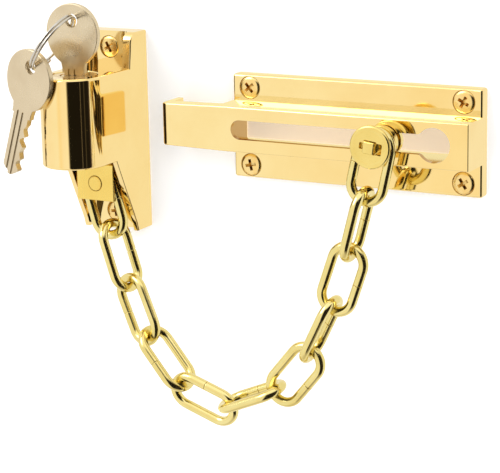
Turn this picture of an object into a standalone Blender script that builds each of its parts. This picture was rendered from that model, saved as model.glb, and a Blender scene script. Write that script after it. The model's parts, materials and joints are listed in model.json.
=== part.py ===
# Keyed door chain guard: a keyed keeper for the frame, a slide track for the door,
# and a link chain between them.  Metres, +Z up, X along the door, +Y into the wall.
# The origin is the centre of the keeper's back face, on the wall plane (y = 0), so
# the front of every piece faces -Y.  Dimensions are in millimetres.
import math

import bmesh
import bpy
from mathutils import Matrix, Vector

MM = 0.001                   # metres in a millimetre

# ---------------------------------------------------------------- shared dimensions
# keeper housing
KEEPER_HALF_W = 11.2
KEEPER_HALF_H = 34.6
UPPER_FLOOR = 6.0            # thickness of the upper screw panel
LOWER_FLOOR = 5.2            # thickness of the lower pocket floor
UPPER_WALL = 3.2             # side wall beside the upper panel
LOWER_WALL = 2.0             # side wall beside the lower pocket
BARREL_R = KEEPER_HALF_W
BARREL_Y = -29.5             # centre of the barrel's half-round front
BARREL_LOW, BARREL_TOP = -7.8, 22.7
LOCK_Y = -28.0               # lock axis, parallel to Z
BORE_R = 7.8
CAVITY_LOW, CAVITY_TOP = -5.8, 16.0
RIM_Y = -11.0                # front of the side walls above the barrel
TAPER_Y = -21.0              # front of the side walls just under the barrel
TAPER_END_Y, TAPER_END_Z = -9.5, -31.7
KEEPER_SCREW_Z = 29.0        # keeper screws, above and below the origin
# back plate and its recess
PLATE_RECESS = 1.2           # depth
PLATE_RIM = 1.0              # housing left around the recess
PLATE_GAP = 0.2              # plate edge to recess edge
PLATE_CORNER_R = 1.0
# anchor block
STEM_HALF_W = 3.0
STEM_Y0, STEM_Y1 = -12.6, -8.6
STEM_GAP = 0.4               # play between the stem and its opening
PIN_Z = -16.7
PIN_R = 2.6
# chain
LINK_LENGTH, LINK_WIDTH, WIRE = 26.1, 14.4, 3.0
LINK_COUNT = 11
FIRST_LINK_Y = -15.7
LAST_LINK_Y = -21.5
# key
KEY_HALF_T = 1.0
BLADE_HALF_W = 3.5
BLADE_LENGTH = 22.0
KEY_CUT_DEPTHS = (0.9, 1.7, 0.7, 1.4)    # one per tumbler, from the shoulder down
TUMBLER_PITCH = 4.2
# track
TRACK_X0, TRACK_X1 = 47.1, 136.1
TRACK_Z0, TRACK_Z1 = -12.9, 22.1
TRACK_T = 4.0
CHANNEL_Z, CHANNEL_HALF_H = 5.5, 7.6
CHANNEL_Y = -15.7            # channel front face
CHANNEL_WALL = 2.0
TRACK_SCREW_X = (53.5, 129.8)
TRACK_SCREW_Z = (-8.5, 17.7)
# button
BUTTON_X = 107.3
STUD_R = 2.6

# ---------------------------------------------------------------- clean start
for old_object in list(bpy.data.objects):
    bpy.data.objects.remove(old_object, do_unlink=True)
for old_mesh in list(bpy.data.meshes):
    bpy.data.meshes.remove(old_mesh)


# ---------------------------------------------------------------- materials
def metal(name, colour, roughness):
    mat = bpy.data.materials.new(name)
    mat.use_nodes = True
    shader = mat.node_tree.nodes["Principled BSDF"]
    shader.inputs["Base Color"].default_value = (*colour, 1.0)
    shader.inputs["Roughness"].default_value = roughness
    shader.inputs["Metallic"].default_value = 1.0
    mat.diffuse_color = (*colour, 1.0)
    return mat


GOLD = (0.90, 0.62, 0.22)
DARK_GOLD = (0.82, 0.58, 0.20)
STEEL = (0.55, 0.55, 0.56)

HOUSING_METAL = metal("plated_zinc_housing", colour=GOLD, roughness=0.06)
PLATE_METAL = metal("zinc_plated_steel", colour=STEEL, roughness=0.30)
SCREW_METAL = metal("brass_plated_screws", colour=GOLD, roughness=0.14)
LOCK_METAL = metal("brass_lock_parts", colour=(0.72, 0.55, 0.24), roughness=0.22)
SPRING_METAL = metal("spring_steel", colour=STEEL, roughness=0.25)
BLOCK_METAL = metal("satin_brass_block", colour=(0.84, 0.62, 0.21), roughness=0.24)
PIN_METAL = metal("brass_pin", colour=(0.86, 0.63, 0.22), roughness=0.22)
CHAIN_METAL = metal("brass_chain", colour=DARK_GOLD, roughness=0.16)
TRACK_METAL = metal("plated_zinc_track", colour=GOLD, roughness=0.06)
BUTTON_METAL = metal("brass_button", colour=DARK_GOLD, roughness=0.18)
KEY_METAL = metal("nickel_silver", colour=(0.62, 0.57, 0.49), roughness=0.20)
RING_METAL = metal("steel_ring", colour=(0.60, 0.58, 0.54), roughness=0.15)


# ---------------------------------------------------------------- outlines
def arc(centre_u, centre_v, radius, start, end, steps):
    """Points of a circular arc between two angles in degrees, both ends included."""
    points = []
    for i in range(steps + 1):
        angle = math.radians(start + (end - start) * i / steps)
        points.append((centre_u + radius * math.cos(angle), centre_v + radius * math.sin(angle)))
    return points


def mirrored(half):
    """An outline's left half followed by its mirror image in the line u = 0."""
    return half + [(-u, v) for u, v in reversed(half)]


def on_axis(axis, u, v, along):
    """3D point from (y, z) for axis X, (x, z) for axis Y or (x, y) for axis Z."""
    if axis == "X":
        return (along, u, v)
    if axis == "Y":
        return (u, along, v)
    return (u, v, along)


# ---------------------------------------------------------------- solids, as bmeshes in mm
def join_rings(bm, first, second):
    """Band of quads between two rings of equally many vertices."""
    count = len(first)
    for i in range(count):
        j = (i + 1) % count
        bm.faces.new((first[i], first[j], second[j], second[i]))


def close_solid(bm, start, end):
    """Cap two rings and join them."""
    bm.faces.new(start)
    bm.faces.new(end)
    join_rings(bm, start, end)
    bmesh.ops.recalc_face_normals(bm, faces=bm.faces)
    return bm


def prism(outline, axis, start, end):
    """Solid from a 2D outline run from start to end along the axis."""
    bm = bmesh.new()
    rings = [[bm.verts.new(on_axis(axis, u, v, along)) for u, v in outline]
             for along in (start, end)]
    return close_solid(bm, *rings)


def box(x0, x1, y0, y1, z0, z1):
    return prism([(x0, y0), (x1, y0), (x1, y1), (x0, y1)], "Z", z0, z1)


def add_ring(bm, radius, height, centre, axis, count):
    """Circle of vertices round the axis, or a single vertex where the radius is zero."""
    if radius == 0:
        count = 1
    ring = []
    for i in range(count):
        angle = 2 * math.pi * i / count
        offset = on_axis(axis, radius * math.cos(angle), radius * math.sin(angle), height)
        ring.append(bm.verts.new([c + o for c, o in zip(centre, offset)]))
    return ring


def revolve(profile, centre, axis, count):
    """Solid of revolution from (radius, height) points; the first and last are on the axis."""
    bm = bmesh.new()
    rings = [add_ring(bm, radius, height, centre, axis, count) for radius, height in profile]
    for first, second in zip(rings[:-1], rings[1:]):
        if len(first) > 1 and len(second) > 1:
            join_rings(bm, first, second)
            continue
        for i in range(count):
            j = (i + 1) % count
            if len(first) == 1:
                bm.faces.new((first[0], second[i], second[j]))
            else:
                bm.faces.new((first[i], second[0], first[j]))
    bmesh.ops.recalc_face_normals(bm, faces=bm.faces)
    return bm


def cylinder(radius, length, centre, axis, count):
    """Cylinder from the centre of one end; a negative length runs down the axis."""
    return revolve([(0, 0), (radius, 0), (radius, length), (0, length)], centre, axis, count)


def tube(outer, inner, start, end, centre, axis, count, chamfer=0.0):
    """Plain ring between two heights, with its outer edges chamfered if asked."""
    if chamfer > 0:
        profile = [(inner, start), (outer - chamfer, start), (outer, start + chamfer),
                   (outer, end - chamfer), (outer - chamfer, end), (inner, end)]
    else:
        profile = [(inner, start), (outer, start), (outer, end), (inner, end)]
    bm = bmesh.new()
    rings = [add_ring(bm, radius, height, centre, axis, count) for radius, height in profile]
    for first, second in zip(rings, rings[1:] + rings[:1]):
        join_rings(bm, first, second)
    bmesh.ops.recalc_face_normals(bm, faces=bm.faces)
    return bm


def sweep(points, radius, count, closed, up):
    """Round wire along a path of Vectors; up fixes where each ring of vertices starts."""
    bm = bmesh.new()
    total = len(points)
    rings = []
    for k, point in enumerate(points):
        if closed:
            tangent = points[(k + 1) % total] - points[k - 1]
        else:
            tangent = points[min(k + 1, total - 1)] - points[max(k - 1, 0)]
        tangent.normalize()
        side = (up - tangent * up.dot(tangent)).normalized()
        other = tangent.cross(side).normalized()
        ring = []
        for i in range(count):
            angle = 2 * math.pi * i / count
            offset = side * (radius * math.cos(angle)) + other * (radius * math.sin(angle))
            ring.append(bm.verts.new(point + offset))
        rings.append(ring)
    for first, second in zip(rings[:-1], rings[1:]):
        join_rings(bm, first, second)
    if closed:
        join_rings(bm, rings[-1], rings[0])
    else:
        bm.faces.new(rings[0])
        bm.faces.new(rings[-1])
    bmesh.ops.recalc_face_normals(bm, faces=bm.faces)
    return bm


def bevel(bm, wanted, width, segments):
    """Round the sharp edges for which wanted(middle, direction) is true."""
    edges = []
    for edge in bm.edges:
        start, end = (vert.co for vert in edge.verts)
        sharp = edge.calc_face_angle(0.0) > math.radians(20)
        if sharp and wanted((start + end) / 2, (end - start).normalized()):
            edges.append(edge)
    bmesh.ops.bevel(bm, geom=edges, offset=width, offset_type="OFFSET", segments=segments,
                    profile=0.5, affect="EDGES", clamp_overlap=True)


# ---------------------------------------------------------------- objects
def make_object(name, bm, mat=None, origin=(0, 0, 0)):
    """Turn a bmesh, in mm at its world position, into an object with its origin at `origin`."""
    bmesh.ops.translate(bm, verts=bm.verts, vec=-Vector(origin))
    bmesh.ops.scale(bm, verts=bm.verts, vec=(MM, MM, MM))
    bmesh.ops.recalc_face_normals(bm, faces=bm.faces)
    mesh = bpy.data.meshes.new(name)
    bm.to_mesh(mesh)
    bm.free()
    ob = bpy.data.objects.new(name, mesh)
    ob.location = Vector(origin) * MM
    bpy.context.scene.collection.objects.link(ob)
    if mat:
        mesh.materials.append(mat)
    return ob


def smooth(ob, angle=35.0):
    """Shade smooth, with edges above the angle in degrees kept sharp."""
    ob.data.shade_smooth()
    ob.data.set_sharp_from_angle(angle=math.radians(angle))


def combine(name, base, mat, adds=(), cuts=(), origin=(0, 0, 0)):
    """Object made of the base joined with every add, less every cut."""
    ob = make_object(name, base)
    tools = []
    for operation, solids in (("UNION", adds), ("DIFFERENCE", cuts)):
        for i, solid in enumerate(solids):
            tool = make_object(f"{name}_{operation.lower()}_{i}", solid)
            boolean = ob.modifiers.new(f"{operation}{i}", "BOOLEAN")
            boolean.operation = operation
            boolean.solver = "EXACT"
            boolean.object = tool
            tools.append(tool)
    depsgraph = bpy.context.evaluated_depsgraph_get()
    depsgraph.update()
    mesh = bpy.data.meshes.new_from_object(ob.evaluated_get(depsgraph))
    ob.modifiers.clear()
    ob.data = mesh
    mesh.name = name
    for tool in tools:
        tool_mesh = tool.data
        bpy.data.objects.remove(tool, do_unlink=True)
        bpy.data.meshes.remove(tool_mesh)
    # clear the slivers the booleans leave, then move the mesh onto its origin (metres here)
    bm = bmesh.new()
    bm.from_mesh(mesh)
    bmesh.ops.remove_doubles(bm, verts=bm.verts, dist=0.00001)
    bmesh.ops.dissolve_degenerate(bm, dist=0.000005, edges=bm.edges)
    bmesh.ops.translate(bm, verts=bm.verts, vec=-Vector(origin) * MM)
    bmesh.ops.recalc_face_normals(bm, faces=bm.faces)
    bm.to_mesh(mesh)
    bm.free()
    mesh.materials.clear()
    mesh.materials.append(mat)
    ob.location = Vector(origin) * MM
    smooth(ob)


# ================================================================= SCREWS
SCREW_HEAD_R = 3.7
# ends of one tapered arm of the cross recess: half length, half width, y from the head plane
RECESS_ENDS = ((2.5, 0.62, -2.0), (0.9, 0.40, 1.0))


def countersink(x, z, face_y, depth):
    """Cutter for a stepped countersunk hole, from 1 mm in front of the face y = face_y."""
    profile = [(0, 0), (5.0, 0), (5.0, 1.0), (4.0, 1.0), (4.0, 1.35), (2.45, 3.2),
               (2.45, depth), (0, depth)]
    return revolve(profile, (x, face_y - 1.0, z), "Y", 24)


def recess_arm(x, z, face_y, turn):
    cos_turn, sin_turn = math.cos(math.radians(turn)), math.sin(math.radians(turn))
    bm = bmesh.new()
    rings = []
    for half_l, half_w, y in RECESS_ENDS:
        corners = ((-half_l, -half_w), (half_l, -half_w), (half_l, half_w), (-half_l, half_w))
        rings.append([bm.verts.new((x + u * cos_turn - v * sin_turn, face_y + y,
                                    z + u * sin_turn + v * cos_turn)) for u, v in corners])
    return close_solid(bm, *rings)


def screw(name, x, z, face_y, length, turn):
    """Oval countersunk screw with a cross recess, head on the plane y = face_y, driven +Y."""
    profile = [(0.0, -1.15), (1.6, -1.02), (2.8, -0.58), (SCREW_HEAD_R, 0.0),
               (SCREW_HEAD_R, 0.25), (2.2, 1.9), (2.05, length - 4.5), (0.35, length),
               (0.0, length)]
    body = revolve(profile, (x, face_y, z), "Y", 20)
    arms = [recess_arm(x, z, face_y, angle) for angle in (turn, turn + 90)]
    combine(name, body, SCREW_METAL, cuts=arms)


# ================================================================= KEEPER
def keeper_barrel():
    """Block with straight sides and a half-round front, seen from above."""
    plan = ([(KEEPER_HALF_W, 0.0)] + arc(0, BARREL_Y, BARREL_R, 0, -180, 22)
            + [(-KEEPER_HALF_W, 0.0)])
    barrel = prism(plan, "Z", BARREL_LOW, BARREL_TOP)
    bevel(barrel, lambda middle, direction: abs(direction.z) < 0.2 and middle.y < -1.0,
          width=0.9, segments=2)
    return barrel


def keeper_back():
    """Full-height part behind the barrel, from its (y, z) side profile."""
    flat_y, curve_y, curve_z = -6.6, 3.6, 4.6      # top edge, and size of its rounded front
    side = [(0.0, -KEEPER_HALF_H), (0.0, KEEPER_HALF_H), (flat_y, KEEPER_HALF_H)]
    for i in range(1, 6):
        angle = i / 5 * math.pi / 2
        side.append((flat_y - curve_y * math.sin(angle),
                     KEEPER_HALF_H - curve_z * (1 - math.cos(angle))))
    side += [(RIM_Y, BARREL_TOP - 0.6), (RIM_Y, BARREL_LOW + 3.0), (TAPER_Y, BARREL_LOW + 3.0),
             (TAPER_Y, BARREL_LOW), (TAPER_END_Y, TAPER_END_Z),
             (TAPER_END_Y + 0.9, -KEEPER_HALF_H)]
    back = prism(side, "X", -KEEPER_HALF_W, KEEPER_HALF_W)

    def outer_edge(middle, direction):
        on_side = abs(abs(middle.x) - KEEPER_HALF_W) < 0.01
        beside_barrel = BARREL_LOW + 0.01 < middle.z < BARREL_TOP - 1.0
        return on_side and middle.y < -0.5 and not beside_barrel

    bevel(back, outer_edge, width=0.6, segments=2)
    return back


def keeper_housing():
    upper_x = KEEPER_HALF_W - UPPER_WALL
    lower_x = KEEPER_HALF_W - LOWER_WALL
    recess_x = KEEPER_HALF_W - PLATE_RIM
    recess_z = KEEPER_HALF_H - PLATE_RIM
    stem_x = STEM_HALF_W + STEM_GAP
    cuts = [
        # upper screw recess, open at the front and top, with eased inner corners
        prism(mirrored([(-upper_x, -30.0), (-upper_x, -UPPER_FLOOR - 1.6),
                        (-upper_x + 0.5, -UPPER_FLOOR - 0.5), (-upper_x + 1.6, -UPPER_FLOOR)]),
              "Z", BARREL_TOP, KEEPER_HALF_H + 5),
        # lower pocket for the anchor block, open at the front and bottom
        prism(mirrored([(-lower_x, -60.0), (-lower_x, -LOWER_FLOOR - 1.0),
                        (-lower_x + 1.0, -LOWER_FLOOR)]),
              "Z", -KEEPER_HALF_H - 5, BARREL_LOW),
        # recess for the back plate
        box(-recess_x, recess_x, -PLATE_RECESS, 5.0, -recess_z, recess_z),
        # mechanism cavity behind the barrel
        box(-8.0, 8.0, -24.0, -PLATE_RECESS + 0.5, CAVITY_LOW, CAVITY_TOP),
        # lock bore
        cylinder(BORE_R, 40.0, (0, LOCK_Y, CAVITY_LOW), "Z", 32),
        # opening in the barrel floor for the block's stem
        box(-stem_x, stem_x, STEM_Y0 - STEM_GAP, STEM_Y1 + STEM_GAP,
            BARREL_LOW - 2.0, CAVITY_LOW + 1.0),
        countersink(0, KEEPER_SCREW_Z, -UPPER_FLOOR, 12.0),
        countersink(0, -KEEPER_SCREW_Z, -LOWER_FLOOR, 12.0),
    ]
    combine("keeper_housing", keeper_barrel(), HOUSING_METAL, adds=[keeper_back()], cuts=cuts)


def keeper_back_plate():
    corner_x = KEEPER_HALF_W - PLATE_RIM - PLATE_GAP - PLATE_CORNER_R
    corner_z = KEEPER_HALF_H - PLATE_RIM - PLATE_GAP - PLATE_CORNER_R
    outline = []
    for i, (sign_x, sign_z) in enumerate(((1, 1), (-1, 1), (-1, -1), (1, -1))):
        outline += arc(sign_x * corner_x, sign_z * corner_z, PLATE_CORNER_R,
                       90 * i, 90 * (i + 1), 3)
    plate = prism(outline, "Y", -PLATE_RECESS + 0.1, 0.0)
    holes = [cylinder(2.7, 8, (0, -4, z), "Y", 24) for z in (KEEPER_SCREW_Z, -KEEPER_SCREW_Z)]
    combine("keeper_back_plate", plate, PLATE_METAL, cuts=holes)


# ================================================================= LOCK
LOCK_CENTRE = (0, LOCK_Y, 0)
SHELL_R, SHELL_BORE = 7.5, 5.1
PLUG_R = 4.85
PLUG_TOP = 22.35
TAIL_HALF = 2.0              # half side of the plug's square tail
CAM_PIN_X = 4.2              # lock axis to the cam's drive pin
TUMBLER_Z = [4.0 + TUMBLER_PITCH * i for i in range(len(KEY_CUT_DEPTHS))]


def lock_box(half_x, half_y, z0, z1):
    """Box centred on the lock axis."""
    return box(-half_x, half_x, LOCK_Y - half_y, LOCK_Y + half_y, z0, z1)


def keyway(z0, z1):
    """Cutter a little larger than the key blade."""
    return lock_box(BLADE_HALF_W + 0.15, KEY_HALF_T + 0.2, z0, z1)


def lock_shell():
    """Sleeve round the plug, with a flat on its wall side."""
    shell = tube(SHELL_R, SHELL_BORE, 0.0, BARREL_TOP - 0.25, LOCK_CENTRE, "Z", 32)
    flat = box(-9, 9, LOCK_Y + 6.9, LOCK_Y + 12, -5, 12)
    combine("lock_cylinder_shell", shell, LOCK_METAL, cuts=[flat])


def lock_plug():
    """Round plug with keyway, tumbler slots, a groove for the clip and a square tail."""
    profile = [(0, PLUG_TOP), (PLUG_R - 0.3, PLUG_TOP), (PLUG_R, PLUG_TOP - 0.3), (PLUG_R, -0.3),
               (4.2, -0.3), (4.2, -0.9), (PLUG_R - 0.2, -0.9), (PLUG_R - 0.2, -1.1), (0, -1.1)]
    body = revolve(profile, LOCK_CENTRE, "Z", 28)
    tail = lock_box(TAIL_HALF, TAIL_HALF, -3.1, -1.0)
    slots = [lock_box(6.0, 2.2, z - 0.55, z + 0.55) for z in TUMBLER_Z]
    combine("lock_plug", body, LOCK_METAL, adds=[tail], cuts=[keyway(0.3, 30)] + slots,
            origin=LOCK_CENTRE)


def tumbler_wafers():
    """Thin plates with a window for the blade."""
    for i, z in enumerate(TUMBLER_Z):
        wafer = lock_box(4.35, 2.0, z - 0.4, z + 0.4)
        combine(f"tumbler_wafer_{i + 1}", wafer, LOCK_METAL, cuts=[keyway(z - 1, z + 1)],
                origin=LOCK_CENTRE)


def retaining_clip():
    """Flat ring in the plug's groove, open at the front."""
    clip = tube(6.3, 4.35, -0.85, -0.35, LOCK_CENTRE, "Z", 32)
    opening = box(-2.4, 2.4, LOCK_Y - 12, LOCK_Y, -2, 1)
    combine("plug_retaining_clip", clip, SPRING_METAL, cuts=[opening], origin=LOCK_CENTRE)


def lock_cam():
    """Cam on the square tail, drive pin pointing down."""
    outline = arc(0, LOCK_Y, 4.6, 60, 300, 16) + arc(CAM_PIN_X, LOCK_Y, 1.9, -70, 70, 8)
    cam = prism(outline, "Z", -3.0, -1.25)
    pin = cylinder(1.1, -2.3, (CAM_PIN_X, LOCK_Y, -2.9), "Z", 16)
    hole = lock_box(TAIL_HALF + 0.15, TAIL_HALF + 0.15, -4, 0)
    combine("lock_cam", cam, SPRING_METAL, adds=[pin], cuts=[hole], origin=LOCK_CENTRE)


def latch_bolt():
    """Flat slide with a cross slot for the drive pin and a nose towards the wall."""
    z0, z1 = -5.5, -3.25
    back_y, nose_y = LOCK_Y - 3.0, -13.1
    outline = [  # x, y
        (-2.4, back_y), (6.4, back_y), (6.4, LOCK_Y + 4.2), (4.2, LOCK_Y + 6.4),
        (1.6, LOCK_Y + 7.4), (1.6, nose_y - 0.6), (1.1, nose_y), (-1.1, nose_y),
        (-1.6, nose_y - 0.6), (-1.6, LOCK_Y + 7.4), (-2.4, LOCK_Y + 6.4),
    ]
    slot = box(-1.4, 5.6, LOCK_Y - 1.3, LOCK_Y + 2.2, z0 - 1, z1 + 1)
    combine("latch_bolt", prism(outline, "Z", z0, z1), SPRING_METAL, cuts=[slot],
            origin=(0, nose_y, (z0 + z1) / 2))


# ================================================================= ANCHOR
BLOCK_HALF_W = 7.4
BLOCK_Y0, BLOCK_Y1 = -18.3, -7.2
BLOCK_Z0, BLOCK_Z1 = -22.7, -9.8
STEM_TOP = -1.0
ANCHOR_ORIGIN = (0, FIRST_LINK_Y, PIN_Z)


def anchor_block():
    """Block under the barrel, slotted for the first link, with a stem up into the cavity."""
    block = box(-BLOCK_HALF_W, BLOCK_HALF_W, BLOCK_Y0, BLOCK_Y1, BLOCK_Z0, BLOCK_Z1)
    bevel(block, lambda middle, direction: True, width=0.35, segments=1)
    stem = box(-STEM_HALF_W, STEM_HALF_W, STEM_Y0, STEM_Y1, BLOCK_Z1 - 1.0, STEM_TOP)
    bevel(stem, lambda middle, direction: middle.z > STEM_TOP - 0.2, width=0.6, segments=1)
    slot_half = WIRE / 2 + 0.25
    cuts = [
        # slot for the first link
        box(-20, 20, FIRST_LINK_Y - slot_half, FIRST_LINK_Y + slot_half, -40, -10.55),
        # pin hole
        cylinder(PIN_R + 0.15, 11.0, (0, BLOCK_Y0 - 1.0, PIN_Z), "Y", 28),
        # window through the stem for the latch bolt's nose
        box(-1.95, 1.95, -16, -6, -5.9, -2.9),
    ]
    combine("anchor_block", block, BLOCK_METAL, adds=[stem], cuts=cuts, origin=ANCHOR_ORIGIN)


def anchor_pin():
    profile = [(0, -0.25), (PIN_R - 0.15, -0.25), (PIN_R, -0.1), (PIN_R, 9.8), (0, 9.8)]
    pin = revolve(profile, (0, BLOCK_Y0, PIN_Z), "Y", 28)
    smooth(make_object("anchor_pin", pin, PIN_METAL, ANCHOR_ORIGIN))


# ================================================================= CHAIN
LINK_GAP = 0.30              # play between links
OPEN_GAP = 1.05              # play between links 1 and 2
EXTRA_GAP = OPEN_GAP - LINK_GAP
BOW = 2.2                    # how far the chain bows out from the wall below the keeper
TWIST = 14.0                 # greatest twist of the run near the keeper, degrees
ARC_SPACING = LINK_LENGTH - LINK_WIDTH   # between the centres of a link's end arcs


def link_spans():
    """Distances between neighbouring pivots, link 1 first."""
    inner_r = (LINK_WIDTH - 2 * WIRE) / 2
    edge_span = LINK_LENGTH - WIRE + 2 * (inner_r - WIRE / 2 - LINK_GAP)
    end_span = ARC_SPACING + (inner_r - STUD_R) - 0.12
    spans = [ARC_SPACING if k % 2 == 0 else edge_span for k in range(LINK_COUNT)]
    spans[0] = spans[-1] = end_span
    spans[1] -= EXTRA_GAP
    return spans


def pivot_depths(spans):
    """Y of every pivot.  The end links keep a constant y; the others share the drift."""
    drift_length = sum(spans[1:-1])
    depths = [FIRST_LINK_Y, FIRST_LINK_Y]
    run = 0.0
    for k in range(1, LINK_COUNT - 1):
        run += spans[k]
        swell = math.sin(math.pi * min(1.0, k / 5.5)) ** 2
        drift = (LAST_LINK_Y - FIRST_LINK_Y) * run / drift_length
        depths.append(FIRST_LINK_Y + drift - BOW * swell)
    return depths + [LAST_LINK_Y]


def hang(spans, pull, lift):
    """Pivots (x, z) of links of unit weight; pull and lift are the force at the keeper end."""
    x, z = 0.0, PIN_Z
    pivots = [(x, z)]
    for k, span in enumerate(spans):
        slope = math.atan2(lift + k + 0.5, pull)
        x += span * math.cos(slope)
        z += span * math.sin(slope)
        pivots.append((x, z))
    return pivots


def chain_pivots():
    """Pivots of the hanging chain, from the anchor pin to the button stud.
    Odd links lie flat to the wall, even links stand edge on; each pair turns about the
    end-arc centre of the flat link."""
    spans = link_spans()
    depths = pivot_depths(spans)
    wall_spans = [math.sqrt(span ** 2 - (depths[k + 1] - depths[k]) ** 2)
                  for k, span in enumerate(spans)]

    def miss(pull, lift):
        x, z = hang(wall_spans, pull, lift)[-1]
        return x - BUTTON_X, z - CHANNEL_Z

    # Newton's method with a limited step, until the last pivot lands on the stud
    pull, lift = 2.0, -4.8
    nudge = 1e-5
    for _ in range(60):
        miss_x, miss_z = miss(pull, lift)
        pulled_x, pulled_z = miss(pull + nudge, lift)
        lifted_x, lifted_z = miss(pull, lift + nudge)
        x_by_pull, x_by_lift = (pulled_x - miss_x) / nudge, (lifted_x - miss_x) / nudge
        z_by_pull, z_by_lift = (pulled_z - miss_z) / nudge, (lifted_z - miss_z) / nudge
        determinant = x_by_pull * z_by_lift - x_by_lift * z_by_pull
        pull_step = (z_by_lift * miss_x - x_by_lift * miss_z) / determinant
        lift_step = (x_by_pull * miss_z - z_by_pull * miss_x) / determinant
        limit = min(1.0, 0.5 / max(abs(pull_step), abs(lift_step), 1e-9))
        pull = max(pull - limit * pull_step, 0.05)
        lift -= limit * lift_step
    return [Vector((x, y, z)) for (x, z), y in zip(hang(wall_spans, pull, lift), depths)]


def link_path():
    """Stadium centre line in the local XZ plane, long axis Z, centred on the origin."""
    end_r = (LINK_WIDTH - WIRE) / 2
    half = ARC_SPACING / 2
    outline = (arc(0, half, end_r, 0, 180, 8) + [(-end_r, 0.0)]
               + arc(0, -half, end_r, 180, 360, 8) + [(end_r, 0.0)])
    return [Vector((x, 0.0, z)) for x, z in outline]


def link_roll(k):
    """Twist in degrees of link k (from 0) about its own length, easing out along the chain."""
    if not 1 <= k <= 5:
        return 0.0
    return TWIST * math.cos(math.pi / 2 * abs(k - 2.4) / 3.6) ** 0.8


def link_rotation(k, axis):
    """Local X across the link, Y normal to its plane, Z along the axis."""
    wall = Vector((0, 1, 0))
    normal = (wall - axis * wall.dot(axis)).normalized()
    if k % 2:
        normal = axis.cross(normal).normalized()
    roll = Matrix.Rotation(math.radians(link_roll(k)), 3, axis)
    normal = (roll @ normal).normalized()
    across = normal.cross(axis).normalized()
    return Matrix((across, normal, axis)).transposed()


def chain():
    pivots = chain_pivots()
    for k in range(LINK_COUNT):
        start, end = pivots[k], pivots[k + 1]
        axis = (end - start).normalized()          # from the keeper towards the button
        pivot = end
        if k == 0:
            centre = end - axis * (ARC_SPACING / 2)
            pivot = start
        elif k == LINK_COUNT - 1:
            centre = start + axis * (ARC_SPACING / 2)
        else:
            centre = (start + end) / 2
        if k == 1:
            centre -= axis * (EXTRA_GAP / 2)
        link = sweep(link_path(), WIRE / 2, 8, closed=True, up=Vector((0, 1, 0)))
        bmesh.ops.rotate(link, verts=link.verts, cent=(0, 0, 0), matrix=link_rotation(k, axis))
        bmesh.ops.translate(link, verts=link.verts, vec=centre)
        smooth(make_object(f"chain_link_{k + 1:02d}", link, CHAIN_METAL, pivot), 60)


# ================================================================= TRACK
CHANNEL_Z0, CHANNEL_Z1 = CHANNEL_Z - CHANNEL_HALF_H, CHANNEL_Z + CHANNEL_HALF_H
TONGUE_X = 25.4              # free end of the tongue
TONGUE_ROOT_X = TRACK_X0 + 4.0
TONGUE_T = 5.0
TONGUE_BEND_R = 2.6
HOOK_Y = -3.9                # wall-side end of the hook
HOOK_T = 2.6
SLOT_X0, SLOT_R = 55.5, 3.25
KEYHOLE_X, KEYHOLE_R = 124.3, 5.65
KEYHOLE_FILLET = 1.6         # between the slot and the keyhole


def track_channel():
    channel = box(TRACK_X0 + 0.02, TRACK_X1 - 0.02, CHANNEL_Y, -1.0, CHANNEL_Z0, CHANNEL_Z1)
    bevel(channel, lambda middle, direction: middle.y < CHANNEL_Y + 0.01
          and (abs(direction.x) > 0.9 or middle.x > TRACK_X1 - 1), width=0.6, segments=2)
    return channel


def track_tongue():
    """Bar with a rounded outer corner and its free end turned back to the wall."""
    hook_x = TONGUE_X + HOOK_T
    inner_y = CHANNEL_Y + TONGUE_T
    plan = [(TONGUE_ROOT_X, CHANNEL_Y)]
    plan += arc(TONGUE_X + TONGUE_BEND_R, CHANNEL_Y + TONGUE_BEND_R, TONGUE_BEND_R, 270, 180, 6)
    plan += [(TONGUE_X, HOOK_Y + 0.5), (TONGUE_X + 0.5, HOOK_Y), (hook_x - 0.5, HOOK_Y),
             (hook_x, HOOK_Y - 0.5), (hook_x, inner_y + 0.8), (hook_x + 0.8, inner_y),
             (TONGUE_ROOT_X, inner_y)]
    tongue = prism(plan, "Z", CHANNEL_Z0, CHANNEL_Z1)
    # the free end is a little narrower than the bar
    narrow_x, narrow_run, narrowing = TRACK_X0 - 6, 12.0, 0.055
    for vert in tongue.verts:
        if vert.co.x < narrow_x:
            share = min(1.0, (narrow_x - vert.co.x) / narrow_run)
            vert.co.z = CHANNEL_Z + (vert.co.z - CHANNEL_Z) * (1 - narrowing * share)
    bevel(tongue, lambda middle, direction: abs(direction.z) < 0.3
          and (middle.y < CHANNEL_Y + 2.7 or middle.x < TONGUE_X + 1.0)
          and middle.x < TONGUE_ROOT_X - 0.1, width=0.55, segments=2)
    return tongue


def track_slot():
    """Cutter for the slot, with a keyhole at its +X end."""
    reach = KEYHOLE_R + KEYHOLE_FILLET
    offset = SLOT_R + KEYHOLE_FILLET
    angle = math.degrees(math.asin(offset / reach))
    fillet_x = KEYHOLE_X - reach * math.cos(math.radians(angle))
    outline = arc(SLOT_X0, CHANNEL_Z, SLOT_R, 90, 270, 12)
    outline += arc(fillet_x, CHANNEL_Z - offset, KEYHOLE_FILLET, 90, angle, 3)
    # the fillets already supply the end points of the keyhole's arc
    outline += arc(KEYHOLE_X, CHANNEL_Z, KEYHOLE_R, 180 + angle, 540 - angle, 24)[1:-1]
    outline += arc(fillet_x, CHANNEL_Z + offset, KEYHOLE_FILLET, -angle, -90, 3)
    return prism(outline, "Y", CHANNEL_Y - 3, CHANNEL_Y + CHANNEL_WALL + 1)


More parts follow.
